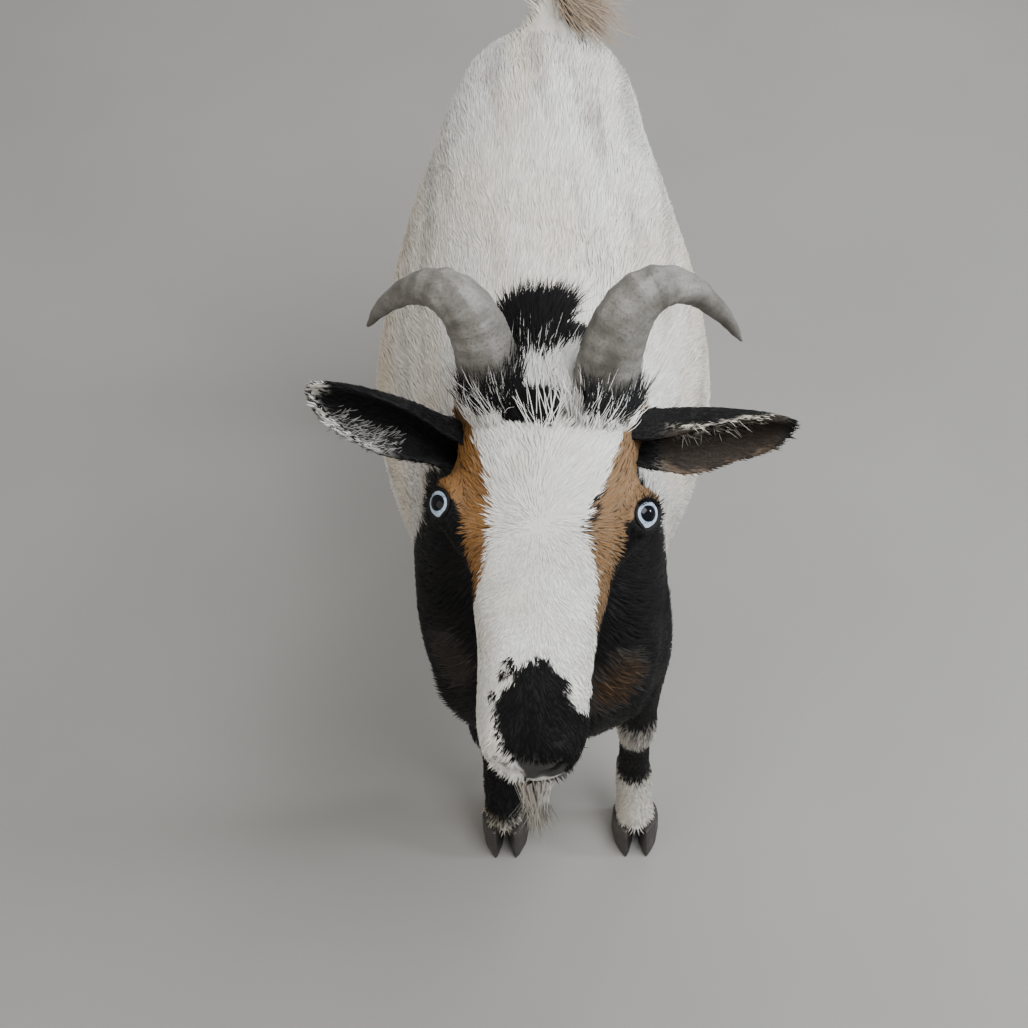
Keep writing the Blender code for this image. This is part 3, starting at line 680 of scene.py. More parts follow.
def face_marks(points):
    """Black and tan on the head, from 0 to 1."""
    local = to_head(points)
    side_way, along, out = local.T
    ragged = 0.0016 * wobble(points, 0.012, 3) + 0.0008 * wobble(points, 0.004, 4)
    round_by = np.abs(side_way) + 0.7 * np.maximum(0, read(FACE_TOP, 1, along) - out) + ragged
    black = np.zeros(len(points))
    tan = np.zeros(len(points))
    for side in (1, -1):
        mine = (side_way * side) > 0
        starts, ends = read(TAN_STRIPE[side], 1, along), read(TAN_STRIPE[side], 2, along)
        white_ends = read(WHITE_REACH[side], 1, along)
        low = along > TAN_STRIPE[side][-1][0]
        past_white = np.where(low, white_ends, starts)
        past_tan = np.where(low, white_ends, ends)
        coloured = step(round_by, past_white - SOFT, past_white + SOFT)
        dark = step(round_by, past_tan - SOFT, past_tan + SOFT)
        if side > 0:
            rim_of_blaze = 1 - step(np.abs(round_by - past_white), 0.0012, 0.0030)
            dark_rim = 0.85 * rim_of_blaze * step(along, 0.056, 0.064)
            dark = np.maximum(dark, dark_rim * (1 - step(along, 0.078, 0.090)))
        black = np.where(mine, dark, black)
        tan = np.where(mine, coloured * (1 - low), tan)
    ragged_x = side_way + ragged
    patch = step(along, 0.143, 0.147)
    patch *= step(ragged_x, read(NOSE_PATCH, 1, along) - SOFT, read(NOSE_PATCH, 1, along) + SOFT)
    patch *= 1 - step(ragged_x, read(NOSE_PATCH, 2, along) - SOFT, read(NOSE_PATCH, 2, along) + SOFT)
    black = np.maximum(black, patch * step(out, -0.047, -0.044))
    fringe = np.interp(side_way, *FRINGE_RIGHT)
    fringe_left = np.interp(side_way, *FRINGE_LEFT)
    fringe = np.where(side_way > 0.006, fringe_left, fringe) + 0.8 * ragged
    at_horns = 1 - step(along, fringe - 0.0015, fringe + 0.0015)
    inner = np.interp(side_way, *BETWEEN_HORNS)
    nape_edge = np.interp(side_way, *NAPE_EDGE) + ragged
    behind = 1 - step(along, nape_edge - 0.002, nape_edge + 0.002)
    between = (1 - step(along + 0.6 * ragged, inner - 0.0015, inner + 0.0015)) * (1 - behind)
    black = np.maximum(black, at_horns * (1 - between) * (out > -0.045))
    black = np.maximum(black, behind * (1 - step(side_way, 0.010, 0.015) * step(out, -0.030, -0.015)))
    leather = step(along, 0.196, 0.202) * (1 - step(np.abs(side_way), 0.017, 0.022))
    leather *= step(out, -0.046, -0.042)
    black = black * (1 - 0.06 * leather * step(line_gap(local, NOSTRIL), 0.0022, 0.0036))
    chin_top = np.interp(along, (0.180, 0.196, 0.206, 0.216), (-0.050, -0.046, -0.036, -0.030))
    chin = step(along, 0.176, 0.190) * (1 - step(out, chin_top - 0.0015, chin_top + 0.0015))
    black = np.maximum(black * (1 - chin), 1 - step(line_gap(local, NOSTRIL), 0.0020, 0.0036))
    black = np.maximum(black, 0.8 * (1 - step(line_gap(local, MOUTH), 0.0008, 0.0020)))
    return black, tan * (1 - chin) * (1 - behind)


head_points = points_of(skin)[region_shares(points_of(skin))[0] > 0.5]
shares = [round(float(mark.mean()), 2) for mark in face_marks(head_points)]
print("shares of the head that these rules make black and tan:", shares)

# %% [markdown]
# The black of neck and chest ends in one uneven line and runs down the forelegs, and the left one has a
# pale band and a pale foot. Behind the line the white turns grey: mixed hairs at the border, and painted
# shade on the flank behind the shoulder. The ears are black with paler edges, and the left one has a tan
# hollow. All these rules then meet in one function.

# %% Where the body is white, black, tan and grey
# Height, then how far back along the body the black of neck and chest reaches.
BLACK_FRONT = (
    (0.30, 0.36, 0.44, 0.50, 0.56, 0.60),
    (-0.070, -0.112, -0.118, -0.085, -0.085, -0.060),
)
# The tan spots on the chest: middle, radius and strength.
CHEST_TAN = (((0.044, -0.233, 0.400), 0.030, 1.0), ((-0.057, -0.218, 0.402), 0.024, 0.6))
# A painted shadow: the dark line down the left side of the tail's root, under the tail's fringe.
TAIL_SHADOW_LINE = ((0.0150, 0.328, 0.550), (0.0210, 0.3190, 0.529), (0.0375, 0.292, 0.518))


def body_marks(points):
    points = points - settled
    x, y, z = points.T
    ragged = 0.010 * wobble(points, 0.07, 5) + 0.005 * wobble(points, 0.025, 6)
    edge = np.interp(z, *BLACK_FRONT)
    black = 1 - step(y + ragged, edge - 0.006, edge + 0.006)
    low = 1 - step(z, 0.26, 0.34)
    front = 1 - step(y + 0.5 * ragged, -0.072, -0.060)
    black = np.maximum(black, low * front)
    left_front = front * (x > 0)
    uneven = z + 0.25 * ragged
    leg_band = 0.8 * step(uneven, 0.134, 0.145) * (1 - step(uneven, 0.166, 0.190))
    pale = leg_band + (1 - step(uneven, 0.079, 0.090))
    black = black * (1 - np.clip(pale, 0, 1) * left_front)
    right_front = front * (x < 0) * (1 - step(uneven, 0.034, 0.050))
    black = black * (1 - 0.6 * right_front)
    tan = np.zeros(len(points))
    for spot, size, much in CHEST_TAN:
        gap = np.linalg.norm(points - np.array(spot), axis=1) + 0.4 * ragged
        tan = np.maximum(tan, much * (1 - step(gap, size * 0.5, size)))
    # Partly painted shade on the flank behind the shoulder, partly mixed hairs at the border: the white
    # turns grey behind the black edge.
    grey = (1 - step(y + ragged, edge + 0.01, edge + 0.09)) * (1 - black) * step(z, 0.22, 0.30)
    # Below 0.18 to 0.20 m the left foreleg's pale hair is greyer.
    greyer_low_leg = left_front * (1 - step(z, 0.18, 0.20))
    return black * (1 - 0.17 * tan), tan, 0.55 * grey + 0.55 * greyer_low_leg


EAR_SPAN = 0.089
# Share of the ear's length, then half its width there.
EAR_WIDTHS = ((0, 0.15, 0.35, 0.55, 0.75, 0.9, 1), (0.012, 0.0155, 0.020, 0.0213, 0.0192, 0.014, 0.0052))


def across_ear(points, side):
    """Share of the ear's length, and how far below its middle line, as a share of half its width."""
    root, tipwards, _ = EAR_WAYS[side]
    arm = to_head(points) - np.array(root)
    tip = unit(tipwards)
    down = unit(np.array([0, 1.0, 0]) - tip * tip[1])
    share = arm @ tip / EAR_SPAN
    return share, arm @ down / np.interp(share, *EAR_WIDTHS)


def ear_rims(points, side):
    """How frosted with white, and how tan, the ear is."""
    share, low = across_ear(points, side)
    ragged = 0.10 * wobble(points, 0.009, 13)
    if side == "right":
        frost = 0.55 * step(low + ragged, 0.80, 1.40) * step(share, 0.30, 0.55)
        white_tip = 0.7 * step(share + 0.3 * ragged, 0.86, 0.96) * step(low, 0.3, 0.7)
        return np.maximum(frost, white_tip), 0 * frost
    edge = 1.10 + 0.40 * step(share, 0.0, 0.13) * (1 - step(share, 0.28, 0.74))
    rim = step(low + ragged, edge, edge + 0.30) * step(share, 0.10, 0.20) * (1 - step(share, 0.80, 0.90))
    fold = low + 0.5 * ragged - 0.85 + 0.68 * share
    streak = (1 - step(np.abs(fold), 0.03, 0.10)) * step(share, 0.12, 0.25) * (1 - step(share, 0.80, 0.90))
    inner = step(fold, 0.05, 0.15) * step(share, 0.10, 0.20) * (1 - step(share, 0.86, 0.96))
    frost = np.maximum(np.maximum(0.40 * rim, 0.36 * streak), 0.10 * inner)
    return frost, np.maximum(0.2 * rim, 0.85 * inner)


def markings(points, part):
    """Black, tan, grey and warm at these points, as four columns from 0 to 1."""
    head, leg, _, _ = region_shares(points)
    head = np.where(part > 0, 1.0, head)
    face_black, face_tan = face_marks(points)
    body_black, body_tan, grey = body_marks(points)
    black = body_black + (face_black - body_black) * head
    tan = body_tan + (face_tan - body_tan) * head
    grey = grey * (1 - head)
    x, y, z = (points - settled).T
    streak = points * [1.0, 0.16, 0.7]
    flank = (1 - head) * (1 - leg) * step(y, -0.02, 0.05)
    tan = np.maximum(tan, 0.20 * flank * step(wobble(streak, 0.030, 10), 0.35, 0.95))
    warm = 0.30 + 0.30 * wobble(streak, 0.045, 7) + 0.35 * step(np.abs(x), 0.05, 0.13) * step(z, 0.30, 0.36)
    warm += 0.55 * (1 - step(z, 0.10, 0.22))
    grey = np.maximum(grey, 0.42 * step(wobble(streak, 0.022, 8), 0.30, 0.9) * (1 - head))
    paler = 0.75 * step(to_head(points)[:, 0], 0.0, 0.01)
    warm_face = 0.20 + 0.14 * wobble(points, 0.03, 9)
    warm = np.where(head > 0.5, warm_face + (paler - warm_face) * step(tan, 0.2, 0.6) * (paler > 0), warm)
    grey = np.where(head > 0.5, 0.03, grey)
    # The painted shadow under the tail's fringe, laid on as black.
    for start, end in zip(TAIL_SHADOW_LINE, TAIL_SHADOW_LINE[1:]):
        black = np.maximum(black, 1 - step(gap_to(points, start, end), 0.0045, 0.0080))
    for number, side in ((1, "left"), (2, "right")):
        frost, pink = ear_rims(points, side)
        black = np.where(part == number, 1 - frost, black)
        tan = np.where(part == number, pink, tan)
    black = np.where(part == 3, 1.0, black)
    tan = np.where(part == 3, 0.0, tan)
    return np.clip(np.stack([black, tan, grey, warm], axis=1), 0, 1)


part_of = np.empty(len(skin.data.vertices), np.int32)
skin.data.attributes["part"].data.foreach_get("value", part_of)
skin_marks = markings(points_of(skin), part_of)
marks = skin.data.attributes.new("marks", "FLOAT_COLOR", "POINT")
marks.data.foreach_set("color", skin_marks.astype(np.float32).ravel())
print("share of the skin that is black:", round(float(skin_marks[:, 0].mean()), 3))

# %% [markdown]
# ## Colours of skin and coat
# One shader group turns the four markings into a colour. Skin and tufts both use it: the tufts add their
# own small change from hair to hair and grow lighter towards the tip, a painted shade that darkens the
# roots where the hairs cover each other. A group keeps the two in step when a colour is changed.


# %% A shader group for the coat's colour
def node_tree(name, inputs, outputs):
    tree = bpy.data.node_groups.new(name, "ShaderNodeTree")
    for label_text, kind in inputs:
        tree.interface.new_socket(label_text, in_out="INPUT", socket_type=kind)
    for label_text, kind in outputs:
        tree.interface.new_socket(label_text, in_out="OUTPUT", socket_type=kind)
    return tree, tree.nodes.new("NodeGroupInput"), tree.nodes.new("NodeGroupOutput")


def add(tree, kind, links=(), **settings):
    """A new node with these settings, its inputs linked or set by name or number."""
    made = tree.nodes.new(kind)
    for setting, value in settings.items():
        setattr(made, setting, value)
    for socket, source in dict(links).items():
        if isinstance(source, bpy.types.NodeSocket):
            tree.links.new(source, made.inputs[socket])
        else:
            made.inputs[socket].default_value = source
    return made


def blend_colours(tree, share, below, above):
    made = add(tree, "ShaderNodeMix", {0: share, 6: below, 7: above}, data_type="RGBA")
    return made.outputs[2]


def math_node(tree, operation, first, second=0.0, third=0.0, clamp=False):
    values = {0: first, 1: second, 2: third}
    made = add(tree, "ShaderNodeMath", values, operation=operation, use_clamp=clamp)
    return made.outputs[0]


WHITE_HAIR = (0.87, 0.85, 0.80, 1)
CREAM_HAIR = (0.74, 0.64, 0.49, 1)
TAN_HAIR = (0.235, 0.105, 0.027, 1)
PALE_TAN_HAIR = (0.250, 0.160, 0.090, 1)
BLACK_HAIR = (0.0055, 0.0048, 0.0050, 1)
# Grey hair, which also paints the shade on the flank behind the black of the chest.
GREY_HAIR_AND_SHADE = (0.36, 0.345, 0.33, 1)

coat_tree, group_in, group_out = node_tree(
    "coat_colour",
    [
        ("Marks", "NodeSocketColor"),
        ("Warm", "NodeSocketFloat"),
        ("Hair", "NodeSocketFloat"),
        ("Tip", "NodeSocketFloat"),
    ],
    [("Color", "NodeSocketColor"), ("Fleck", "NodeSocketFloat")],
)
place = add(coat_tree, "ShaderNodeTexCoord").outputs["Object"]
split = add(coat_tree, "ShaderNodeSeparateColor", {0: group_in.outputs["Marks"]}).outputs
mottle = add(coat_tree, "ShaderNodeTexNoise", {"Vector": place, "Scale": 55.0, "Detail": 4.0}).outputs[0]
fleck = add(coat_tree, "ShaderNodeTexNoise", {"Vector": place, "Scale": 420.0, "Detail": 3.0}).outputs[0]
warm_share = math_node(coat_tree, "MULTIPLY_ADD", mottle, 0.5, -0.25)
warm_share = math_node(coat_tree, "ADD", warm_share, group_in.outputs["Warm"], clamp=True)
colour = blend_colours(coat_tree, warm_share, WHITE_HAIR, CREAM_HAIR)
colour = blend_colours(coat_tree, split[2], colour, GREY_HAIR_AND_SHADE)
tan_colour = blend_colours(coat_tree, group_in.outputs["Warm"], TAN_HAIR, PALE_TAN_HAIR)
colour = blend_colours(coat_tree, split[1], colour, tan_colour)
colour = blend_colours(coat_tree, split[0], colour, BLACK_HAIR)
shade = math_node(coat_tree, "MULTIPLY_ADD", group_in.outputs["Hair"], 0.36, 0.66)
# Painted shade: each hair is darker at its root than at its tip.
shade = math_node(coat_tree, "MULTIPLY_ADD", group_in.outputs["Tip"], 0.10, shade)
shade = math_node(coat_tree, "MULTIPLY_ADD", fleck, 0.10, shade)
shaded = add(coat_tree, "ShaderNodeVectorMath", {0: colour, 3: shade}, operation="SCALE").outputs[0]
coat_tree.links.new(shaded, group_out.inputs["Color"])
coat_tree.links.new(fleck, group_out.inputs["Fleck"])
print("coat colour group:", len(coat_tree.nodes), "nodes")

# %% [markdown]
# The skin's material adds a fine bump of short hairs, which shows where the coat is thin. The coat's reads
# each tuft's own lightness, and how far a point is from root to tip, from an attribute of the mesh. A
# material for each shade of hair would do too, but one keeps all pieces of the coat alike.

# %% The materials of the skin and of the coat
def material(name, roughness):
    made = bpy.data.materials.new(name)
    made.use_nodes = True
    tree = made.node_tree
    shader = tree.nodes["Principled BSDF"]
    shader.inputs["Roughness"].default_value = roughness
    return made, tree, shader


def coat_colour(tree, hair, tip):
    marked = add(tree, "ShaderNodeAttribute", attribute_name="marks")
    group = add(tree, "ShaderNodeGroup", node_tree=coat_tree)
    tree.links.new(marked.outputs["Color"], group.inputs["Marks"])
    tree.links.new(marked.outputs["Alpha"], group.inputs["Warm"])
    for socket, source in (("Hair", hair), ("Tip", tip)):
        if isinstance(source, float):
            group.inputs[socket].default_value = source
        else:
            tree.links.new(source, group.inputs[socket])
    return group


skin_material, tree, shader = material("goat_skin", 0.7)
shader.inputs["Specular IOR Level"].default_value = 0.25
# The skin is coloured as hair a third of the way up, so it takes part of the painted shade at the roots.
under = coat_colour(tree, 0.45, 0.35)
tree.links.new(under.outputs["Color"], shader.inputs["Base Color"])
place = add(tree, "ShaderNodeTexCoord").outputs["Object"]
stretched = add(tree, "ShaderNodeMapping", {"Vector": place, "Scale": (1.0, 0.25, 0.6)}).outputs[0]
hairs = add(tree, "ShaderNodeTexNoise", {"Vector": stretched, "Scale": 900.0, "Detail": 5.0}).outputs[0]
bump = add(tree, "ShaderNodeBump", {"Height": hairs, "Strength": 0.5, "Distance": 0.0012}).outputs[0]
tree.links.new(bump, shader.inputs["Normal"])
skin.data.materials.append(skin_material)

coat_material, tree, shader = material("goat_coat", 0.6)
shader.inputs["Specular IOR Level"].default_value = 0.12
strand = add(tree, "ShaderNodeAttribute", attribute_name="strand")
parts = add(tree, "ShaderNodeSeparateColor", {0: strand.outputs["Color"]}).outputs
dressed = coat_colour(tree, parts[0], parts[1])
tree.links.new(dressed.outputs["Color"], shader.inputs["Base Color"])
rough = math_node(tree, "MULTIPLY_ADD", dressed.outputs["Fleck"], 0.25, 0.45)
tree.links.new(rough, shader.inputs["Roughness"])
print("materials:", skin_material.name, coat_material.name)

# %% [markdown]
# ## The coat
# Each tuft is a closed, pointed blade with a flat underside and a low ridge, sunk a little into the skin.
# Hair curves would be lighter, but only solid mesh leaves the notebook with the model. A tuft needs five
# things: a root, the way it lies, a length, a width and how far it stands off. They all follow from the
# root's place, with a little chance added, so the coat changes smoothly from face to flank.


# %% Which way the hair lies
def lie_of_hair(points, normals, part):
    """A direction for each point: back along the trunk, down the legs, out from the middle of the face."""
    head, leg, tail, neck = region_shares(points)
    count = len(points)
    way = np.tile([0.0, 1.0, 0.0], (count, 1))
    way[:, 2] = -0.15 - 0.55 * (1 - step(normals[:, 2], 0.1, 0.9))
    down_neck = np.tile([0.0, 0.55, -0.85], (count, 1))
    way += (down_neck - way) * neck[:, None]
    down_leg = np.tile([0.0, 0.22, -1.0], (count, 1))
    way += (down_leg - way) * leg[:, None]
    up_tail = np.stack([0.25 * np.ones(count), 0.1 * np.ones(count), np.ones(count)], axis=1)
    way += (up_tail - way) * tail[:, None]
    local = to_head(points)
    side_way, along, out = local.T
    aside = np.tanh(side_way / 0.012)
    up_face = np.stack([0.75 * aside, -0.75 * np.ones(count), 0.2 * np.ones(count)], axis=1)
    down_face = np.stack([0.62 * aside, 0.80 * np.ones(count), -0.2 * np.ones(count)], axis=1)
    facing = up_face + (down_face - up_face) * step(along, 0.060, 0.095)[:, None]
    cheeks = np.stack([0.1 * aside, -0.35 * np.ones(count), -0.9 * np.ones(count)], axis=1)
    lower = step(-out, 0.020, 0.045) * (1 - step(along, 0.185, 0.205))
    facing += (cheeks - facing) * lower[:, None]
    for side in (1, -1):
        centre, outwards, _, _ = eye_frame(side, OPENING_RISE)
        away = local - centre - outwards * EYE_RADIUS
        gap = np.linalg.norm(away, axis=1)
        facing += away * (1.6 * (1 - step(gap, 0.009, 0.024)) / np.maximum(gap, 0.004))[:, None]
    facing = head_way(facing)
    way += (facing - way) * head[:, None]
    for number, side in ((1, "left"), (2, "right")):
        way = np.where((part == number)[:, None], head_way(unit(EAR_WAYS[side][1])), way)
    return way


ON_BACK = np.array([[0.0, 0.10, 0.50]])
print("on the back the hair lies along", lie_of_hair(ON_BACK, np.array([[0, 0, 1.0]]), np.array([0]))[0])


# %% How long, wide and steep the tufts are, and how close they stand
def tuft_sizes(points, part):
    """Length, width, steepness in degrees and number per square metre."""
    head, leg, tail, neck = region_shares(points)
    local = to_head(points)
    side_way, along, out = local.T
    body = np.tile([0.0200, 0.00098, 5.0, 150e3], (len(points), 1))
    on_neck = np.array([0.0200, 0.00105, 6.5, 160e3])
    body += (on_neck - body) * neck[:, None]
    on_leg = np.array([0.0130, 0.0009, 7.0, 175e3])
    body += (on_leg - body) * leg[:, None]
    on_foot = np.array([0.0085, 0.0008, 8.0, 250e3])
    body += (on_foot - body) * step(0.17 - points[:, 2], 0.0, 0.06)[:, None]
    on_tail = np.array([0.032, 0.0011, 12.0, 230e3])
    body += (on_tail - body) * tail[:, None]
    brow = step(along, 0.02, 0.10)[:, None]
    forehead = np.array([0.0125, 0.00075, 9.0, 450e3])
    muzzle = np.array([0.0064, 0.0006, 8.0, 620e3])
    face = forehead + (muzzle - forehead) * brow
    cheek = step(-out, 0.03, 0.06)[:, None]
    face = face + (np.array([0.0105, 0.0009, 9.0, 320e3]) - face) * cheek * (1 - 0.5 * brow)
    body += (face - body) * head[:, None]
    below_fringe = step(along, 0.014, 0.022) * (1 - step(along, 0.032, 0.042))
    below_fringe *= step(0.052 - np.abs(side_way), 0, 0.01)
    body[:, 0] *= 1 - 0.45 * below_fringe * head
    from_eye = eye_distance(local)
    close = (1 - step(from_eye, 0.0155, 0.024))[:, None] * head[:, None]
    body += (np.array([0.0042, 0.0005, 8.0, 760e3]) - body) * close
    on_ear = np.array([0.0060, 0.00065, 7.0, 480e3])
    body = np.where(((part == 1) | (part == 2))[:, None], on_ear, body)
    body[part == 3, 3] = 0
    inside_lids = head.astype(bool) & (from_eye < EYE_RADIUS + 0.0004)
    body[inside_lids, 3] = 0
    nose = (along > 0.199) & (side_way < 0.0185) & (side_way > read(NOSE_PATCH, 1, along) + 0.001)
    nose &= (out > -0.0445) & (part == 0)
    body[(nose | (line_gap(local, NOSTRIL) < 0.0032)) & (head > 0.5), 3] = 0
    return body


length, width = tuft_sizes(ON_BACK, np.array([0]))[0, :2]
print("tufts on the back:", round(1000 * length, 1), "mm long,", round(1000 * width, 2), "mm wide")

# %% [markdown]
# Tufts stand close enough to hide the skin, and closest on the face. Roots on a grid would show as rows.
# So each triangle of the skin gets roots by its area and its place, each at a random spot on it.

# %% Choose the roots
def corner_table(field):
    """The three vertices, or loops, of each of the skin's triangles."""
    found = np.empty(len(skin.data.loop_triangles) * 3, np.int32)
    skin.data.loop_triangles.foreach_get(field, found)
    return found.reshape(-1, 3)


skin.data.calc_loop_triangles()
tri_points, tri_loops = corner_table("vertices"), corner_table("loops")
skin_unwrap = np.empty(len(skin.data.loops) * 2, np.float32)
skin.data.uv_layers["OFBake"].data.foreach_get("uv", skin_unwrap)
skin_unwrap = skin_unwrap.reshape(-1, 2).astype(float)
skin_points, skin_normals = points_of(skin), normals_of(skin)
TUFT_TARGET = 131000  # the coat's tufts in all, if the rules ask for more

tri_corners = skin_points[tri_points]
tri_middles = tri_corners.mean(axis=1)
tri_areas = np.linalg.norm(
    np.cross(tri_corners[:, 1] - tri_corners[:, 0], tri_corners[:, 2] - tri_corners[:, 0]), axis=1
) / 2
tri_part = part_of[tri_points[:, 0]]


def roots_on(chosen, rng):
    """A random root on each chosen triangle: place, normal, part and place on the unwrap."""
    a, b = rng.random((2, len(chosen)))
    flip = a + b > 1
    a, b = np.where(flip, 1 - a, a), np.where(flip, 1 - b, b)
    shares = np.stack([1 - a - b, a, b], axis=1)[:, :, None]
    roots = (tri_corners[chosen] * shares).sum(axis=1)
    normals = (skin_normals[tri_points[chosen]] * shares).sum(axis=1)
    normals /= np.linalg.norm(normals, axis=1)[:, None]
    unwrap = (skin_unwrap[tri_loops[chosen]] * shares).sum(axis=1)
    return roots, normals, tri_part[chosen], unwrap


rng = np.random.default_rng(11)
wanted = tri_areas * tuft_sizes(tri_middles, tri_part)[:, 3]
print("tufts asked for:", int(wanted.sum()), "on", round(float(tri_areas.sum()), 3), "square metres")
wanted *= min(1.0, TUFT_TARGET / wanted.sum())
number = np.floor(wanted + rng.random(len(wanted))).astype(int)
roots, root_normals, root_part, root_unwrap = roots_on(np.repeat(np.arange(len(number)), number), rng)
print("roots:", len(roots))

# %% [markdown]
# A blade has two or three rings of three corners below its tip. An operator for each tuft would take
# hours, so the corners of thousands of tufts are worked out together as arrays and become one mesh. Its
# normals lean towards the skin's, because light on fur follows the body more than the single hair.

# %% Make tufts from roots
def laid_on(ways, normals):
    flat = ways - normals * (ways * normals).sum(axis=1)[:, None]
    return flat / np.maximum(np.linalg.norm(flat, axis=1), 1e-9)[:, None]


PATCH_HALF = 0.0015  # half the side of a tuft's patch on the unwrap
SKIN_LIGHT = 0.72  # how far a tuft is shaded as the skin beneath it, which keeps a dense coat soft


def tuft_mesh(
    name, roots, normals, ways, lengths, widths, steep, marks_at, unwrap, hair, bend=(0, 0, 0), rings=2
):
    """One joined mesh of closed pointed blades. rings is the number of sections below the tip, and bend
    is how far the tip is carried aside, as a share of the length."""
    count = len(roots)
    sides = np.cross(ways, normals)
    lean = np.radians(steep)
    heights = np.array([0.0, 0.52] if rings == 2 else [0.0, 0.36, 0.72])
    fullness = np.array([0.75, 1.0] if rings == 2 else [0.70, 1.0, 0.72])
    sink = np.maximum(0.0012, 0.35 * widths)
    columns = []
    for height, full in zip([*heights, 1.0], [*fullness, 0.0]):
        along = (lengths * height * np.cos(lean))[:, None] * ways
        off = lengths * height * np.sin(lean) * (1.25 - 0.55 * height) - sink * (height == 0)
        carried = np.asarray(bend, float) * (lengths * height**2)[:, None]
        middle = roots + along + off[:, None] * normals + carried
        if full == 0:
            columns.append(middle)
            continue
        half = (widths * full / 2)[:, None]
        columns += [middle - sides * half, middle + sides * half, middle + normals * half * 0.75]
    per_tuft = len(columns)
    points = np.stack(columns, axis=1).reshape(-1, 3)
    corners = [(0, 1, 2)]
    for ring in range(rings - 1):
        low, high = ring * 3, ring * 3 + 3
        for a, b in ((0, 1), (1, 2), (2, 0)):
            corners += [(low + b, low + a, high + a), (low + b, high + a, high + b)]
    last = (rings - 1) * 3
    corners += [(last + b, last + a, per_tuft - 1) for a, b in ((0, 1), (1, 2), (2, 0))]
    corners = np.array(corners)
    sample = points[:per_tuft][corners] - points[0]
    if np.linalg.det(sample).sum() < 0:
        corners = corners[:, ::-1]
    faces = (np.arange(count)[:, None, None] * per_tuft + corners).reshape(-1)
    mesh = bpy.data.meshes.new(name)
    mesh.vertices.add(len(points))
    mesh.vertices.foreach_set("co", points.astype(np.float32).ravel())
    mesh.loops.add(len(faces))
    mesh.loops.foreach_set("vertex_index", faces.astype(np.int32))
    mesh.polygons.add(len(faces) // 3)
    mesh.polygons.foreach_set("loop_start", np.arange(0, len(faces), 3, dtype=np.int32))
    mesh.update(calc_edges=True)
    rows = [(aside, rise) for rise in (-1, 0.4, 0.8)[:rings] for aside in (-1, 1, 0)]
    patch = np.array([*rows, (0, 1)])
    at = (unwrap[:, None, :] + patch[None] * PATCH_HALF).reshape(-1, 2)
    layer = mesh.uv_layers.new(name="OFBake")
    layer.data.foreach_set("uv", np.clip(at[faces], 0, 1).astype(np.float32).ravel())
    stored = mesh.attributes.new("marks", "FLOAT_COLOR", "POINT")
    stored.data.foreach_set("color", np.repeat(marks_at, per_tuft, axis=0).astype(np.float32).ravel())
    tips = np.tile(np.repeat([*heights, 1.0], [3] * rings + [1]), count)
    strands = np.stack([np.repeat(hair, per_tuft), tips, np.zeros(len(tips)), np.ones(len(tips))], axis=1)
    stored = mesh.attributes.new("strand", "FLOAT_COLOR", "POINT")
    stored.data.foreach_set("color", strands.astype(np.float32).ravel())
    mesh.materials.append(coat_material)
    mesh.polygons.foreach_set("use_smooth", np.ones(len(faces) // 3, bool))
    own = np.empty(len(points) * 3, np.float32)
    mesh.vertex_normals.foreach_get("vector", own)
    lit = own.reshape(-1, 3) * (1 - SKIN_LIGHT) + np.repeat(normals, per_tuft, axis=0) * SKIN_LIGHT
    lit /= np.linalg.norm(lit, axis=1)[:, None]
    mesh.normals_split_custom_set_from_vertices(lit.astype(np.float32))
    made = bpy.data.objects.new(name, mesh)
    bpy.context.scene.collection.objects.link(made)
    return made


DARK_STRAYS = 0.13  # the share of dark hairs among the tan ones


def crisp(marks_at, sharp, rng):
    """A single hair is one colour, so on the head a soft edge between markings becomes a mix of hairs."""
    shaken = marks_at.copy()
    chance = 0.75 * (rng.random((len(marks_at), 2)) - 0.5)
    black, tan = marks_at[:, 0], marks_at[:, 1]
    coloured = np.maximum(black, tan)
    any_colour = step(coloured + chance[:, 0], 0.40, 0.60)
    dark = step(black / np.maximum(coloured, 0.001) + chance[:, 1], 0.40, 0.60)
    strays = (rng.random(len(marks_at)) < DARK_STRAYS) * (tan > 0.3)
    dark = np.maximum(dark, 0.75 * strays)
    hard = np.stack([any_colour * dark, any_colour * (tan > 0.5 * black)], axis=1)
    shaken[:, :2] += (hard - marks_at[:, :2]) * sharp[:, None]
    shaken[:, 2] = marks_at[:, 2] * (0.4 + 1.2 * rng.random(len(marks_at)))
    shaken[:, 3] += 0.9 * tan * (rng.random(len(marks_at)) - 0.5)
    return np.clip(shaken, 0, 1)


print("a tuft's patch is", 2 * PATCH_HALF, "of the unwrap wide")

# %% [markdown]
# The coat is grown in pieces that all have one material. The tufts are sorted from the chest backwards,
# with the head's last, so that each piece is one stretch of the goat and stays below 200,000 triangles.

# %% Grow the coat
PIECE_TUFTS = 19900  # ten triangles each, so a piece stays below 200,000


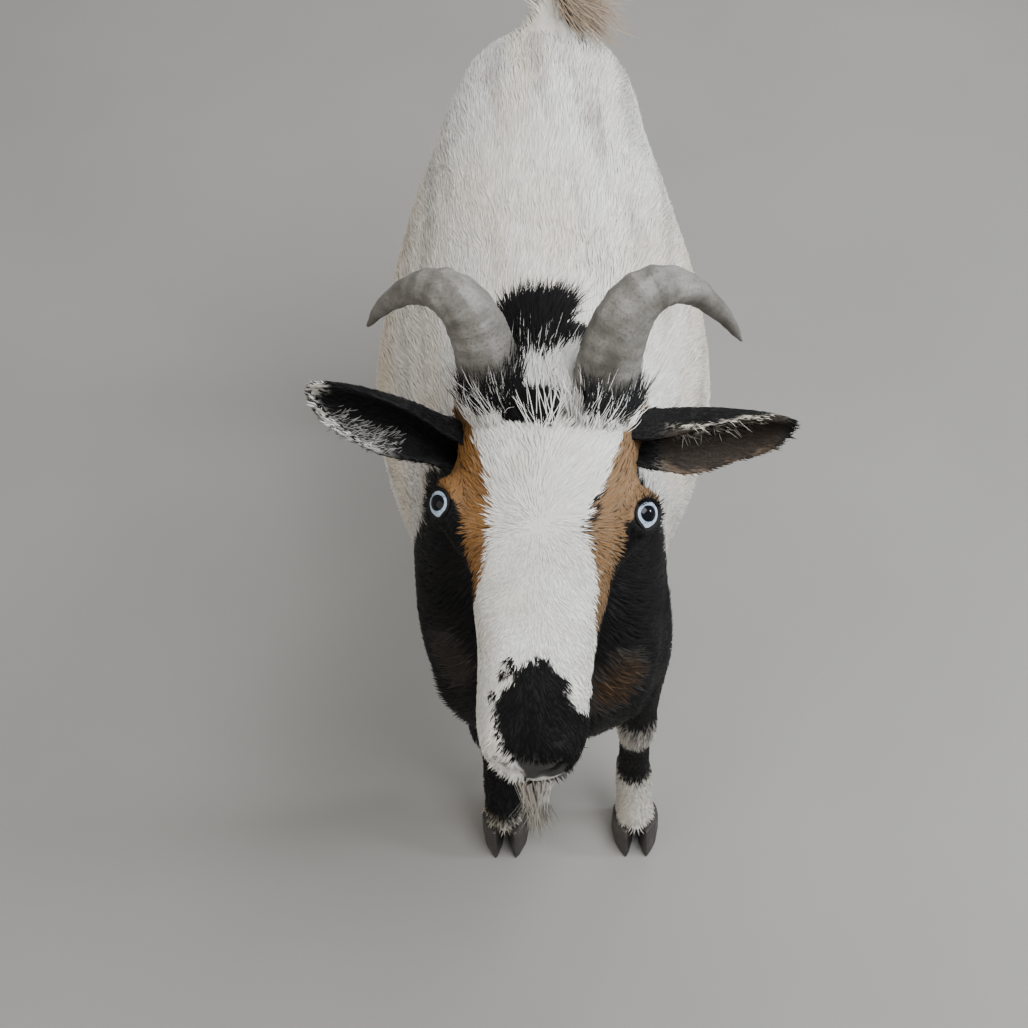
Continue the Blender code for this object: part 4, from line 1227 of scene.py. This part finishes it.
def grow(name, roots, normals, part, unwrap, rng):
    count = len(roots)
    sizes = tuft_sizes(roots, part)
    swing = 0.20 * wobble(roots, 0.050, 21) + 0.13 * wobble(roots, 0.014, 22) + rng.normal(0, 0.12, count)
    ways = laid_on(lie_of_hair(roots, normals, part), normals)
    ways = ways * np.cos(swing)[:, None] + np.cross(normals, ways) * np.sin(swing)[:, None]
    lengths = sizes[:, 0] * rng.uniform(0.72, 1.15, count)
    widths = sizes[:, 1] * rng.uniform(0.75, 1.25, count)
    steep = sizes[:, 2] * rng.uniform(0.4, 1.4, count)
    hair = np.clip(0.5 + 0.22 * rng.normal(size=count) + 0.18 * wobble(roots, 0.02, 23), 0, 1)
    plain = markings(roots, part)
    sharp = np.where(part > 0, 1 - 0.8 * step(plain[:, 1], 0.1, 0.4), 0.35 + 0.65 * region_shares(roots)[0])
    marks_at = crisp(plain, sharp, rng)
    return tuft_mesh(name, roots, normals, ways, lengths, widths, steep, marks_at, unwrap, hair)


head_share = region_shares(roots)[0]
order = np.lexsort((roots[:, 1], (head_share > 0.5) | (root_part > 0)))
coat = []
for start in range(0, len(order), PIECE_TUFTS):
    these = order[start : start + PIECE_TUFTS]
    own = (values[these] for values in (roots, root_normals, root_part, root_unwrap))
    coat.append(grow(f"coat_{len(coat) + 1}", *own, rng))
print("coat pieces:", [(piece.name, len(piece.data.polygons)) for piece in coat])

# %% [markdown]
# Some hair is too long for the flat coat: the fringe that falls over the roots of the horns, the tuft on
# the nape, the hair in and under the ears, the tail's fringe, the lashes and the beard. Each bunch names
# where its roots lie on the skin, which way its hairs go and how they bend.


# %% Grow the longer hair
def bunch(name, count, chosen, way, length, width, steep, bend, spread, marks_now, seed):
    """One bunch of hairs, on the triangles that chosen picks and in the direction that way gives."""
    rng = np.random.default_rng(seed)
    weight = tri_areas * chosen(tri_middles, tri_part)
    picked = rng.choice(len(weight), count, p=weight / weight.sum())
    roots, normals, _, unwrap = roots_on(picked, rng)
    ways = way(roots) + spread * rng.normal(size=(count, 3))
    flat = laid_on(ways, normals)
    lengths = length * rng.uniform(0.6, 1.08, count)
    widths = width * rng.uniform(0.75, 1.25, count)
    lean = steep * rng.uniform(0.7, 1.2, count)
    marks_at = np.tile(marks_now, (count, 1))
    hair = np.clip(0.5 + 0.25 * rng.normal(size=count), 0, 1)
    bent = np.asarray(bend, float) + 0.10 * rng.normal(size=(count, 3))
    return tuft_mesh(
        name, roots, normals, flat, lengths, widths, lean, marks_at, unwrap, hair, bent, rings=3
    )


def box_of(low, high):
    """A rule that picks the skin inside a box of the head's frame."""
    def chosen(points, part):
        local = to_head(points)
        return ((local > low) & (local < high)).all(axis=1) & (part == 0)
    return chosen


def round_horn(side, inner, outer, first, last):
    """A rule that picks the skin in front of a horn's root, between two distances from the middle line."""
    def chosen(points, part):
        side_way, along, out = to_head(points).T
        reach = side_way * side
        ring = np.hypot((reach - 0.0303) / 0.0185, (along - 0.003) / 0.017)
        near = (ring > inner) & (ring < outer) & (along > 0.006) & (out > -0.03)
        return near & (reach > first) & (reach < last) & (part == 0)
    return chosen


def on_ear(number, side, first, last, low_from, low_to):
    def chosen(points, part):
        share, low = across_ear(points, side)
        return (part == number) & (share > first) & (share < last) & (low > low_from) & (low < low_to)
    return chosen


# Sideways and down the face, where each fleck lies.
FLECKS = ((-0.0115, 0.1480), (-0.0095, 0.1520), (-0.0150, 0.1545), (-0.0205, 0.1660), (0.0065, 0.1470))


def flecked(points, part):
    """A rule that picks the small dark flecks beside the nose patch."""
    side_way, along, out = to_head(points).T
    nearest = np.min([np.hypot(side_way - spot[0], along - spot[1]) for spot in FLECKS], axis=0)
    return (nearest < 0.0026) & (out > -0.03) & (part == 0)


def steady(*local):
    return lambda roots: np.tile(head_way(local), (len(roots), 1))


def fanned(lean):
    """Up the face, fanning from the middle, and leaning to the goat's left by lean."""
    def way(roots):
        aside = to_head(roots)[:, :1]
        return head_way(np.array([lean, -1.0, 0.35]) + aside / 0.016 * np.array([0.55, 0, 0]))
    return way


# Each hair's black, tan, grey and warm.
BLACK, PALE = (1, 0, 0, 0.1), (0, 0, 0.04, 0.12)
SMOKY, TAWNY, CREAM = (0.45, 0, 0.3, 0.2), (0, 0.7, 0.2, 0.6), (0, 0, 0.25, 0.6)
rising = head_way([0, -0.22, 0.30])
WISPS = (
    # name, number, where, which way, length, width, steepness, bend, spread, marks
    ("fringe_left", 1500, round_horn(1, 0.95, 1.18, 0.018, 0.0375), steady(-0.10, -1, 0),
     0.034, 0.0007, 74, rising, 0.18, BLACK),
    ("fringe_right", 1600, round_horn(-1, 0.95, 1.22, 0.0150, 0.0345), steady(0.15, -1, 0),
     0.036, 0.0007, 74, rising, 0.20, BLACK),
    ("foot_left", 500, round_horn(1, 1.10, 1.42, 0.010, 0.043), steady(-0.1, -1, 0),
     0.018, 0.0005, 56, rising, 0.30, PALE),
    ("foot_right", 420, round_horn(-1, 1.16, 1.50, 0.0235, 0.040), steady(0.1, -1, 0),
     0.018, 0.0005, 56, rising, 0.30, PALE),
    ("ash_right", 200, round_horn(-1, 0.98, 1.30, 0.017, 0.035), steady(0.15, -1, 0),
     0.036, 0.0004, 76, rising, 0.30, PALE),
    ("ash_left", 160, round_horn(1, 0.98, 1.25, 0.016, 0.038), steady(-0.15, -1, 0),
     0.032, 0.0004, 76, rising, 0.30, PALE),
    ("forelock", 900, box_of((-0.011, -0.010, -0.02), (0.018, 0.007, 0.02)), fanned(0.25),
     0.016, 0.0006, 28, rising, 0.34, PALE),
    ("parting", 28, box_of((-0.010, 0.022, -0.02), (0.006, 0.028, 0.02)), fanned(0.1),
     0.024, 0.0004, 46, rising, 0.40, PALE),
    ("dark_band", 1800, box_of((-0.0185, 0.0155, -0.02), (0.0040, 0.0240, 0.02)), fanned(-0.5),
     0.0115, 0.0006, 40, rising, 0.30, BLACK),
    ("nape", 2400, box_of((-0.0225, -0.036, -0.07), (0.001, -0.0065, 0.02)), fanned(0.42),
     0.0265, 0.0009, 54, rising, 0.24, BLACK),
    ("nape_ash", 64, box_of((-0.020, -0.012, -0.06), (0.006, -0.004, 0.02)), fanned(0.45),
     0.023, 0.0004, 50, rising, 0.34, PALE),
    ("flecks", 130, flecked, steady(-0.3, 0.8, 0), 0.0062, 0.0005, 16, (0, 0, 0), 0.30, BLACK),
    ("ear_hair_left", 70, on_ear(1, "left", 0.25, 0.62, 0.42, 0.62), steady(0.5, 0.85, 0.3),
     0.011, 0.00026, 30, (0, 0, 0), 0.25, CREAM),
    ("ear_hair_right", 240, on_ear(2, "right", 0.30, 0.75, 0.5, 1.2), steady(-0.8, 0.45, 0.3),
     0.009, 0.00030, 20, (0, 0, 0), 0.25, SMOKY),
)
longer = [bunch(*wisp, seed=61 + row) for row, wisp in enumerate(WISPS)]
print("longer hair:", [(piece.name, len(piece.data.polygons)) for piece in longer])

# %% [markdown]
# Lashes stand on the upper half of each lid's rim. The tail's fringe hangs from the left side of its root,
# tawny over short black hairs that paint the shadow under it. They are bunches like the others, with rules
# of their own for place and direction.

# %% Grow the lashes and the tail's fringe
def lashes_here(points, part):
    along = to_head(points)[:, 1]
    return (part == 3) & (along < EYE_ALONG - 0.002)


def tail_side(points, part):
    return (gap_to(points, (0.020, 0.336, 0.545), (0.027, 0.318, 0.533)) < 0.011) & (part == 0)


def lash_way(roots):
    side = np.sign(to_head(roots)[:, :1])
    return head_way(side * [0.9, 0, 0] + [0, -0.6, 0.8])


def swept(*way):
    return lambda roots: np.tile(way, (len(roots), 1))


EDGINGS = (
    ("lashes", 130, lashes_here, lash_way, 0.0075, 0.00030, 35, (0, 0, 0.15), 0.15, BLACK),
    ("tail_fringe", 260, tail_side, swept(0.75, -0.15, -0.6),
     0.050, 0.0007, 40, (0.15, 0.0, -0.15), 0.26, TAWNY),
    # Short black hairs that paint the shadow under the tail's fringe.
    ("tail_shadow", 260, tail_side, swept(0.75, -0.1, -0.35),
     0.024, 0.0008, 24, (0.1, 0, -0.1), 0.25, BLACK),
)
edgings = [bunch(*edging, seed=81 + row) for row, edging in enumerate(EDGINGS)]
longer += edgings
print("lashes and tail:", [(piece.name, len(piece.data.polygons)) for piece in edgings])

# %% [markdown]
# A dwarf goat's beard is a thin wisp. Its strands start in a small patch under the chin and draw together
# towards a place below it. The CAD beard gives the length and the middle line.

# %% Grow the beard
def beard_hair(count, seed):
    """Pale strands from under the chin, down the CAD beard's middle line and forwards at the tips."""
    rng = np.random.default_rng(seed)
    low, high = (np.array(corner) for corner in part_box("beard"))
    top = np.array([(low[0] + high[0]) / 2, high[1] - 0.008, high[2]])
    spots = np.linalg.norm((tri_middles - top) * [1, 1, 1.4], axis=1) < 0.020
    weight = tri_areas * (spots & (skin_normals[tri_points[:, 0], 2] < -0.1))
    picked = rng.choice(len(weight), count, p=weight / weight.sum())
    roots, normals, _, unwrap = roots_on(picked, rng)
    aims = top + np.array([0, 0, -0.030]) + (roots - top) * [0.45, 0.45, 0]
    aims += 0.0016 * rng.normal(size=(count, 3))
    ways = aims - roots
    ways /= np.linalg.norm(ways, axis=1)[:, None]
    lengths = (high[2] - low[2]) * rng.uniform(0.62, 1.0, count)
    widths = rng.uniform(0.0005, 0.0009, count)
    bend = np.array([0, -0.26, 0.0]) + 0.06 * rng.normal(size=(count, 3)) - (roots - top) * [9, 0, 0]
    marks_at = np.tile(CREAM, (count, 1))
    hair = np.clip(0.55 + 0.2 * rng.normal(size=count), 0, 1)
    flat = np.zeros(count)
    upright = laid_on(normals, ways)
    return tuft_mesh(
        "beard_hair", roots, upright, ways, lengths, widths, flat, marks_at, unwrap, hair, bend, rings=3
    )


beard = beard_hair(460, 71)
print("beard:", len(beard.data.polygons), "faces")

# %% [markdown]
# ## Eyes
# The eyeball shows little more than a large dark pupil in a ring of ice-blue iris. The ball starts as a
# sphere whose pole looks out through the lids, and its front is pushed out a little for the cornea. The
# colours are rings about that pole, so a Mapping node turns object coordinates into the eye's own.

# %% A shader group for the iris
iris_tree, group_in, group_out = node_tree(
    "iris_rings", [("Vector", "NodeSocketVector")], [("Color", "NodeSocketColor")]
)
axes = add(iris_tree, "ShaderNodeSeparateXYZ", {0: group_in.outputs["Vector"]}).outputs
flat = add(iris_tree, "ShaderNodeCombineXYZ", {0: axes[0], 1: axes[1], 2: 0.0}).outputs[0]
radius = add(iris_tree, "ShaderNodeVectorMath", {0: flat}, operation="LENGTH").outputs["Value"]
pupil_shape = {0: flat, 1: (1.10, 0.97, 1.0)}
squeezed = add(iris_tree, "ShaderNodeVectorMath", pupil_shape, operation="MULTIPLY").outputs[0]
pupil_reach = add(iris_tree, "ShaderNodeVectorMath", {0: squeezed}, operation="LENGTH").outputs["Value"]
turned = add(iris_tree, "ShaderNodeVectorMath", {0: flat}, operation="NORMALIZE").outputs[0]
fibres = add(iris_tree, "ShaderNodeTexNoise", {"Vector": turned, "Scale": 9.0, "Detail": 4.0}).outputs[0]


def band(low, high, value):
    return add(
        iris_tree, "ShaderNodeMapRange", {0: value, 1: low, 2: high}, interpolation_type="SMOOTHSTEP"
    ).outputs[0]


PALE_BLUE = (0.50, 0.62, 0.76, 1)
DEEP_BLUE = (0.20, 0.30, 0.44, 1)
fibre_share = band(0.35, 0.65, fibres)
iris = blend_colours(iris_tree, fibre_share, DEEP_BLUE, PALE_BLUE)
iris = blend_colours(iris_tree, band(0.0052, 0.0066, radius), iris, (0.62, 0.70, 0.80, 1))
iris = blend_colours(iris_tree, band(0.0084, 0.0091, radius), iris, (0.07, 0.08, 0.10, 1))
iris = blend_colours(iris_tree, band(0.0094, 0.0104, radius), iris, (0.20, 0.16, 0.15, 1))
eye_colour = blend_colours(iris_tree, band(0.0051, 0.0047, pupil_reach), iris, (0.004, 0.004, 0.006, 1))
iris_tree.links.new(eye_colour, group_out.inputs["Color"])
print("iris group:", len(iris_tree.nodes), "nodes")


# %% Model the eyeballs
def eyeball(side_name, side):
    centre, out, along, across = eye_frame(side, GAZE_RISE)
    axes_now = np.stack([head_way(along), head_way(across), head_way(out)], axis=1)
    at = Vector(from_head(centre))
    bpy.ops.object.select_all(action="DESELECT")
    bpy.ops.mesh.primitive_uv_sphere_add(segments=64, ring_count=40, radius=EYE_RADIUS, calc_uvs=False)
    ball = bpy.context.object
    ball.name = f"eyeball_{side_name}"
    shape = points_of(ball)
    off_axis = np.hypot(shape[:, 0], shape[:, 1])
    bulge = 0.0007 * (1 - step(off_axis, 0.0, 0.0085)) * (shape[:, 2] > 0)
    shape[:, 2] += bulge
    if np.linalg.det(axes_now) < 0:
        axes_now[:, 1] *= -1
    set_points(ball, shape @ axes_now.T + np.array(at))
    made, tree, shader = material(f"eye_{side_name}", 0.06)
    place = add(tree, "ShaderNodeTexCoord").outputs["Object"]
    turn = Matrix(axes_now).to_euler()
    eye_place = {"Vector": place, "Location": at, "Rotation": turn}
    own = add(tree, "ShaderNodeMapping", eye_place, vector_type="TEXTURE").outputs[0]
    rings = add(tree, "ShaderNodeGroup", {"Vector": own}, node_tree=iris_tree)
    tree.links.new(rings.outputs["Color"], shader.inputs["Base Color"])
    shader.inputs["Coat Weight"].default_value = 0.10
    shader.inputs["Coat Roughness"].default_value = 0.02
    shader.inputs["Specular IOR Level"].default_value = 0.13
    ball.data.materials.append(made)
    pick(ball)
    bpy.ops.object.shade_smooth()
    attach(ball, "root")
    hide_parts(f"eye_{side_name}")
    return ball


eyeballs = [eyeball("left", 1), eyeball("right", -1)]
print("eyeballs:", [ball.name for ball in eyeballs])

# %% [markdown]
# ## Horns
# A horn grows from its root in rings, so it is ridged across and smooth along, with a keel on its inner
# front edge. The CAD horn gives the sweep. A smoothed copy is measured along its middle line, and the
# rings are pressed into the mesh, because bump alone wouldn't show on the outline.

# %% Model the horns
# Sideways, down the face for the left and for the right horn, and out of the forehead.
HORN_LINE = (
    (0.0290, 0.014, 0.014, -0.0160),
    (0.0305, 0.000, 0.001, 0.0060),
    (0.0340, -0.017, -0.014, 0.0240),
    (0.0420, -0.033, -0.028, 0.0350),
    (0.0545, -0.0430, -0.0370, 0.0370),
    (0.0695, -0.0450, -0.0390, 0.0270),
    (0.0835, -0.0410, -0.0370, 0.0100),
    (0.0945, -0.0350, -0.0330, -0.0080),
    (0.1025, -0.0285, -0.0280, -0.0230),
)


def smooth_line(rows, steps):
    """Points on a Catmull-Rom curve through these rows."""
    table = np.array(rows, float)
    padded = np.vstack([2 * table[0] - table[1], table, 2 * table[-1] - table[-2]])
    made = []
    for before, start, end, after in zip(padded, padded[1:], padded[2:], padded[3:]):
        for t in np.arange(steps) / steps:
            bend = 2 * start + (end - before) * t + (2 * before - 5 * start + 4 * end - after) * t**2
            made.append(0.5 * (bend + (3 * start - before - 3 * end + after) * t**3))
    return np.array([*made, table[-1]])


def horn_line(side):
    rows = np.array([(side * row[0], row[1 if side > 0 else 2], row[3]) for row in HORN_LINE])
    return from_head(smooth_line(rows, 12))


horn_material, tree, shader = material("horn", 0.5)
place = add(tree, "ShaderNodeTexCoord").outputs["Object"]
reach = add(tree, "ShaderNodeAttribute", attribute_name="reach").outputs["Fac"]
cloud = add(tree, "ShaderNodeTexNoise", {"Vector": place, "Scale": 60.0, "Detail": 6.0}).outputs[0]
grain = add(tree, "ShaderNodeTexNoise", {"Vector": place, "Scale": 700.0, "Detail": 4.0}).outputs[0]
ring_place = math_node(tree, "MULTIPLY", reach, 60.0)
rings = add(tree, "ShaderNodeTexNoise", {"W": ring_place}, noise_dimensions="1D").outputs[0]
patches = add(tree, "ShaderNodeMapRange", {0: cloud, 1: 0.36, 2: 0.64}).outputs[0]
shade = blend_colours(tree, patches, (0.105, 0.096, 0.080, 1), (0.225, 0.212, 0.188, 1))
shade = blend_colours(tree, math_node(tree, "MULTIPLY", rings, 0.05), shade, (0.15, 0.13, 0.105, 1))
# Painted shade: the horn darkens towards its tip, standing for the shadow on the tip.
tip_shade_share = add(tree, "ShaderNodeMapRange", {0: reach, 1: 0.72, 2: 1.0}).outputs[0]
shade = blend_colours(tree, math_node(tree, "MULTIPLY", tip_shade_share, 0.45), shade, (0.110, 0.092, 0.072, 1))
specks = add(tree, "ShaderNodeMapRange", {0: grain, 1: 0.50, 2: 0.66}).outputs[0]
shade = blend_colours(tree, math_node(tree, "MULTIPLY", specks, 0.55), shade, (0.080, 0.070, 0.058, 1))
tree.links.new(shade, shader.inputs["Base Color"])
bump = add(tree, "ShaderNodeBump", {"Height": grain, "Strength": 0.35, "Distance": 0.0006}).outputs[0]
tree.links.new(bump, shader.inputs["Normal"])


def dressed_horn(side_name, side):
    horn = merged_copy(f"ridged_horn_{side_name}", [f"horn_{side_name}"])
    finish_with(horn, "REMESH", mode="VOXEL", voxel_size=0.0011)
    finish_with(horn, "SMOOTH", factor=0.5, iterations=14)
    line = horn_line(side)
    shape = points_of(horn)
    nearest = np.array([np.argmin(((line - p) ** 2).sum(axis=1)) for p in shape])
    run = np.linalg.norm(np.diff(line, axis=0), axis=1)
    far = np.concatenate([[0], np.cumsum(run)])
    tangent = np.gradient(line, axis=0)
    tangent /= np.linalg.norm(tangent, axis=1)[:, None]
    travelled = far[nearest] + ((shape - line[nearest]) * tangent[nearest]).sum(axis=1)
    share = np.clip(travelled / far[-1], 0, 1)
    fade = 1 - step(share, 0.55, 0.90)
    uneven = 2.2 * wobble(shape, 0.06, 31)
    ridge = 0.00013 * np.sin(travelled / 0.0085 * 2 * math.pi + uneven) * fade
    ridge += 0.00007 * np.sin(travelled / 0.0026 * 2 * math.pi + 1.4 * uneven) * fade
    ridge += 0.00028 * wobble(shape, 0.012, 32)
    set_points(horn, shape + normals_of(horn) * (ridge - 0.0004)[:, None])
    stored = horn.data.attributes.new("reach", "FLOAT", "POINT")
    stored.data.foreach_set("value", share.astype(np.float32))
    horn.data.materials.append(horn_material)
    pick(horn)
    bpy.ops.object.shade_smooth()
    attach(horn, "root")
    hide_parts(f"horn_{side_name}")
    return horn


horns = [dressed_horn("left", 1), dressed_horn("right", -1)]
print("horns:", [(horn.name, len(horn.data.polygons)) for horn in horns])

# %% [markdown]
# ## Hooves
# A goat walks on two claws a foot. Their walls are dark horn with fine growth rings that run level with
# the hairline. The CAD claws have the outline but hard facets, so copies are fused, softened and ringed.

# %% Model the claws and dewclaws
hoof_material, tree, shader = material("hoof", 0.42)
place = add(tree, "ShaderNodeTexCoord").outputs["Object"]
layers = add(tree, "ShaderNodeMapping", {"Vector": place, "Scale": (0.3, 0.3, 4.0)}).outputs[0]
lines = add(tree, "ShaderNodeTexNoise", {"Vector": layers, "Scale": 260.0, "Detail": 3.0}).outputs[0]
dust = add(tree, "ShaderNodeTexNoise", {"Vector": place, "Scale": 90.0, "Detail": 5.0}).outputs[0]
shade = blend_colours(tree, lines, (0.014, 0.012, 0.011, 1), (0.055, 0.047, 0.041, 1))
dusty = add(tree, "ShaderNodeMapRange", {0: dust, 1: 0.52, 2: 0.75}).outputs[0]
shade = blend_colours(tree, math_node(tree, "MULTIPLY", dusty, 0.35), shade, (0.16, 0.13, 0.10, 1))
tree.links.new(shade, shader.inputs["Base Color"])
bump = add(tree, "ShaderNodeBump", {"Height": lines, "Strength": 0.4, "Distance": 0.0008}).outputs[0]
tree.links.new(bump, shader.inputs["Normal"])

hooves = []
for node in sorted(name for name in frame["nodes"] if "claw" in name):
    hoof = merged_copy(node.replace("claw", "hoof"), [node])
    small = node.startswith("dewclaw")
    finish_with(hoof, "REMESH", mode="VOXEL", voxel_size=0.0008 if small else 0.0012)
    finish_with(hoof, "SMOOTH", factor=0.5, iterations=3)
    shape = points_of(hoof)
    low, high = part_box(node)
    if small:
        middle_y = (low[1] + high[1]) / 2
        shape[:, 1] -= 0.006 * step(middle_y - shape[:, 1], -0.001, 0.003)
    else:
        wall = step(shape[:, 2], 0.0015, 0.004)
        ring = 0.00022 * np.sin(shape[:, 2] / 0.0032 * 2 * math.pi + 3 * wobble(shape, 0.03, 41)) * wall
        flat_way = normals_of(hoof) * [1, 1, 0]
        shape = shape + flat_way * ring[:, None]
        shape[:, 2] = np.where(shape[:, 2] < 0.0012, low[2], shape[:, 2])
    set_points(hoof, shape)
    hoof.data.materials.append(hoof_material)
    pick(hoof)
    bpy.ops.object.shade_smooth_by_angle(angle=math.radians(50))
    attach(hoof, "root")
    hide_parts(node)
    hooves.append(hoof)
print("hooves:", len(hooves), "pieces of", len(hooves[0].data.polygons), "faces and fewer")

# %% [markdown]
# ## The floor, and the pieces on the body
# The floor is a wide plane, with the faint unevenness of poured plaster, so that it doesn't look like
# paper. Every piece then rides on the goat's one body.

# %% Floor, and every piece on the body
bpy.ops.object.select_all(action="DESELECT")
bpy.ops.mesh.primitive_plane_add(size=9, location=(0, 0, 0))
floor = bpy.context.object
floor.name = "floor"
floor_material, tree, shader = material("floor_plaster", 0.75)
place = add(tree, "ShaderNodeTexCoord").outputs["Object"]
haze = add(tree, "ShaderNodeTexNoise", {"Vector": place, "Scale": 3.0, "Detail": 6.0}).outputs[0]
plaster = blend_colours(tree, haze, (0.26, 0.245, 0.225, 1), (0.32, 0.305, 0.28, 1))
tree.links.new(plaster, shader.inputs["Base Color"])
floor.data.materials.append(floor_material)

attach(skin, "root")
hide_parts(*FLESH, "ear_left", "ear_right")
for piece in [*coat, *longer, beard]:
    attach(piece, "root")
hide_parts("beard")
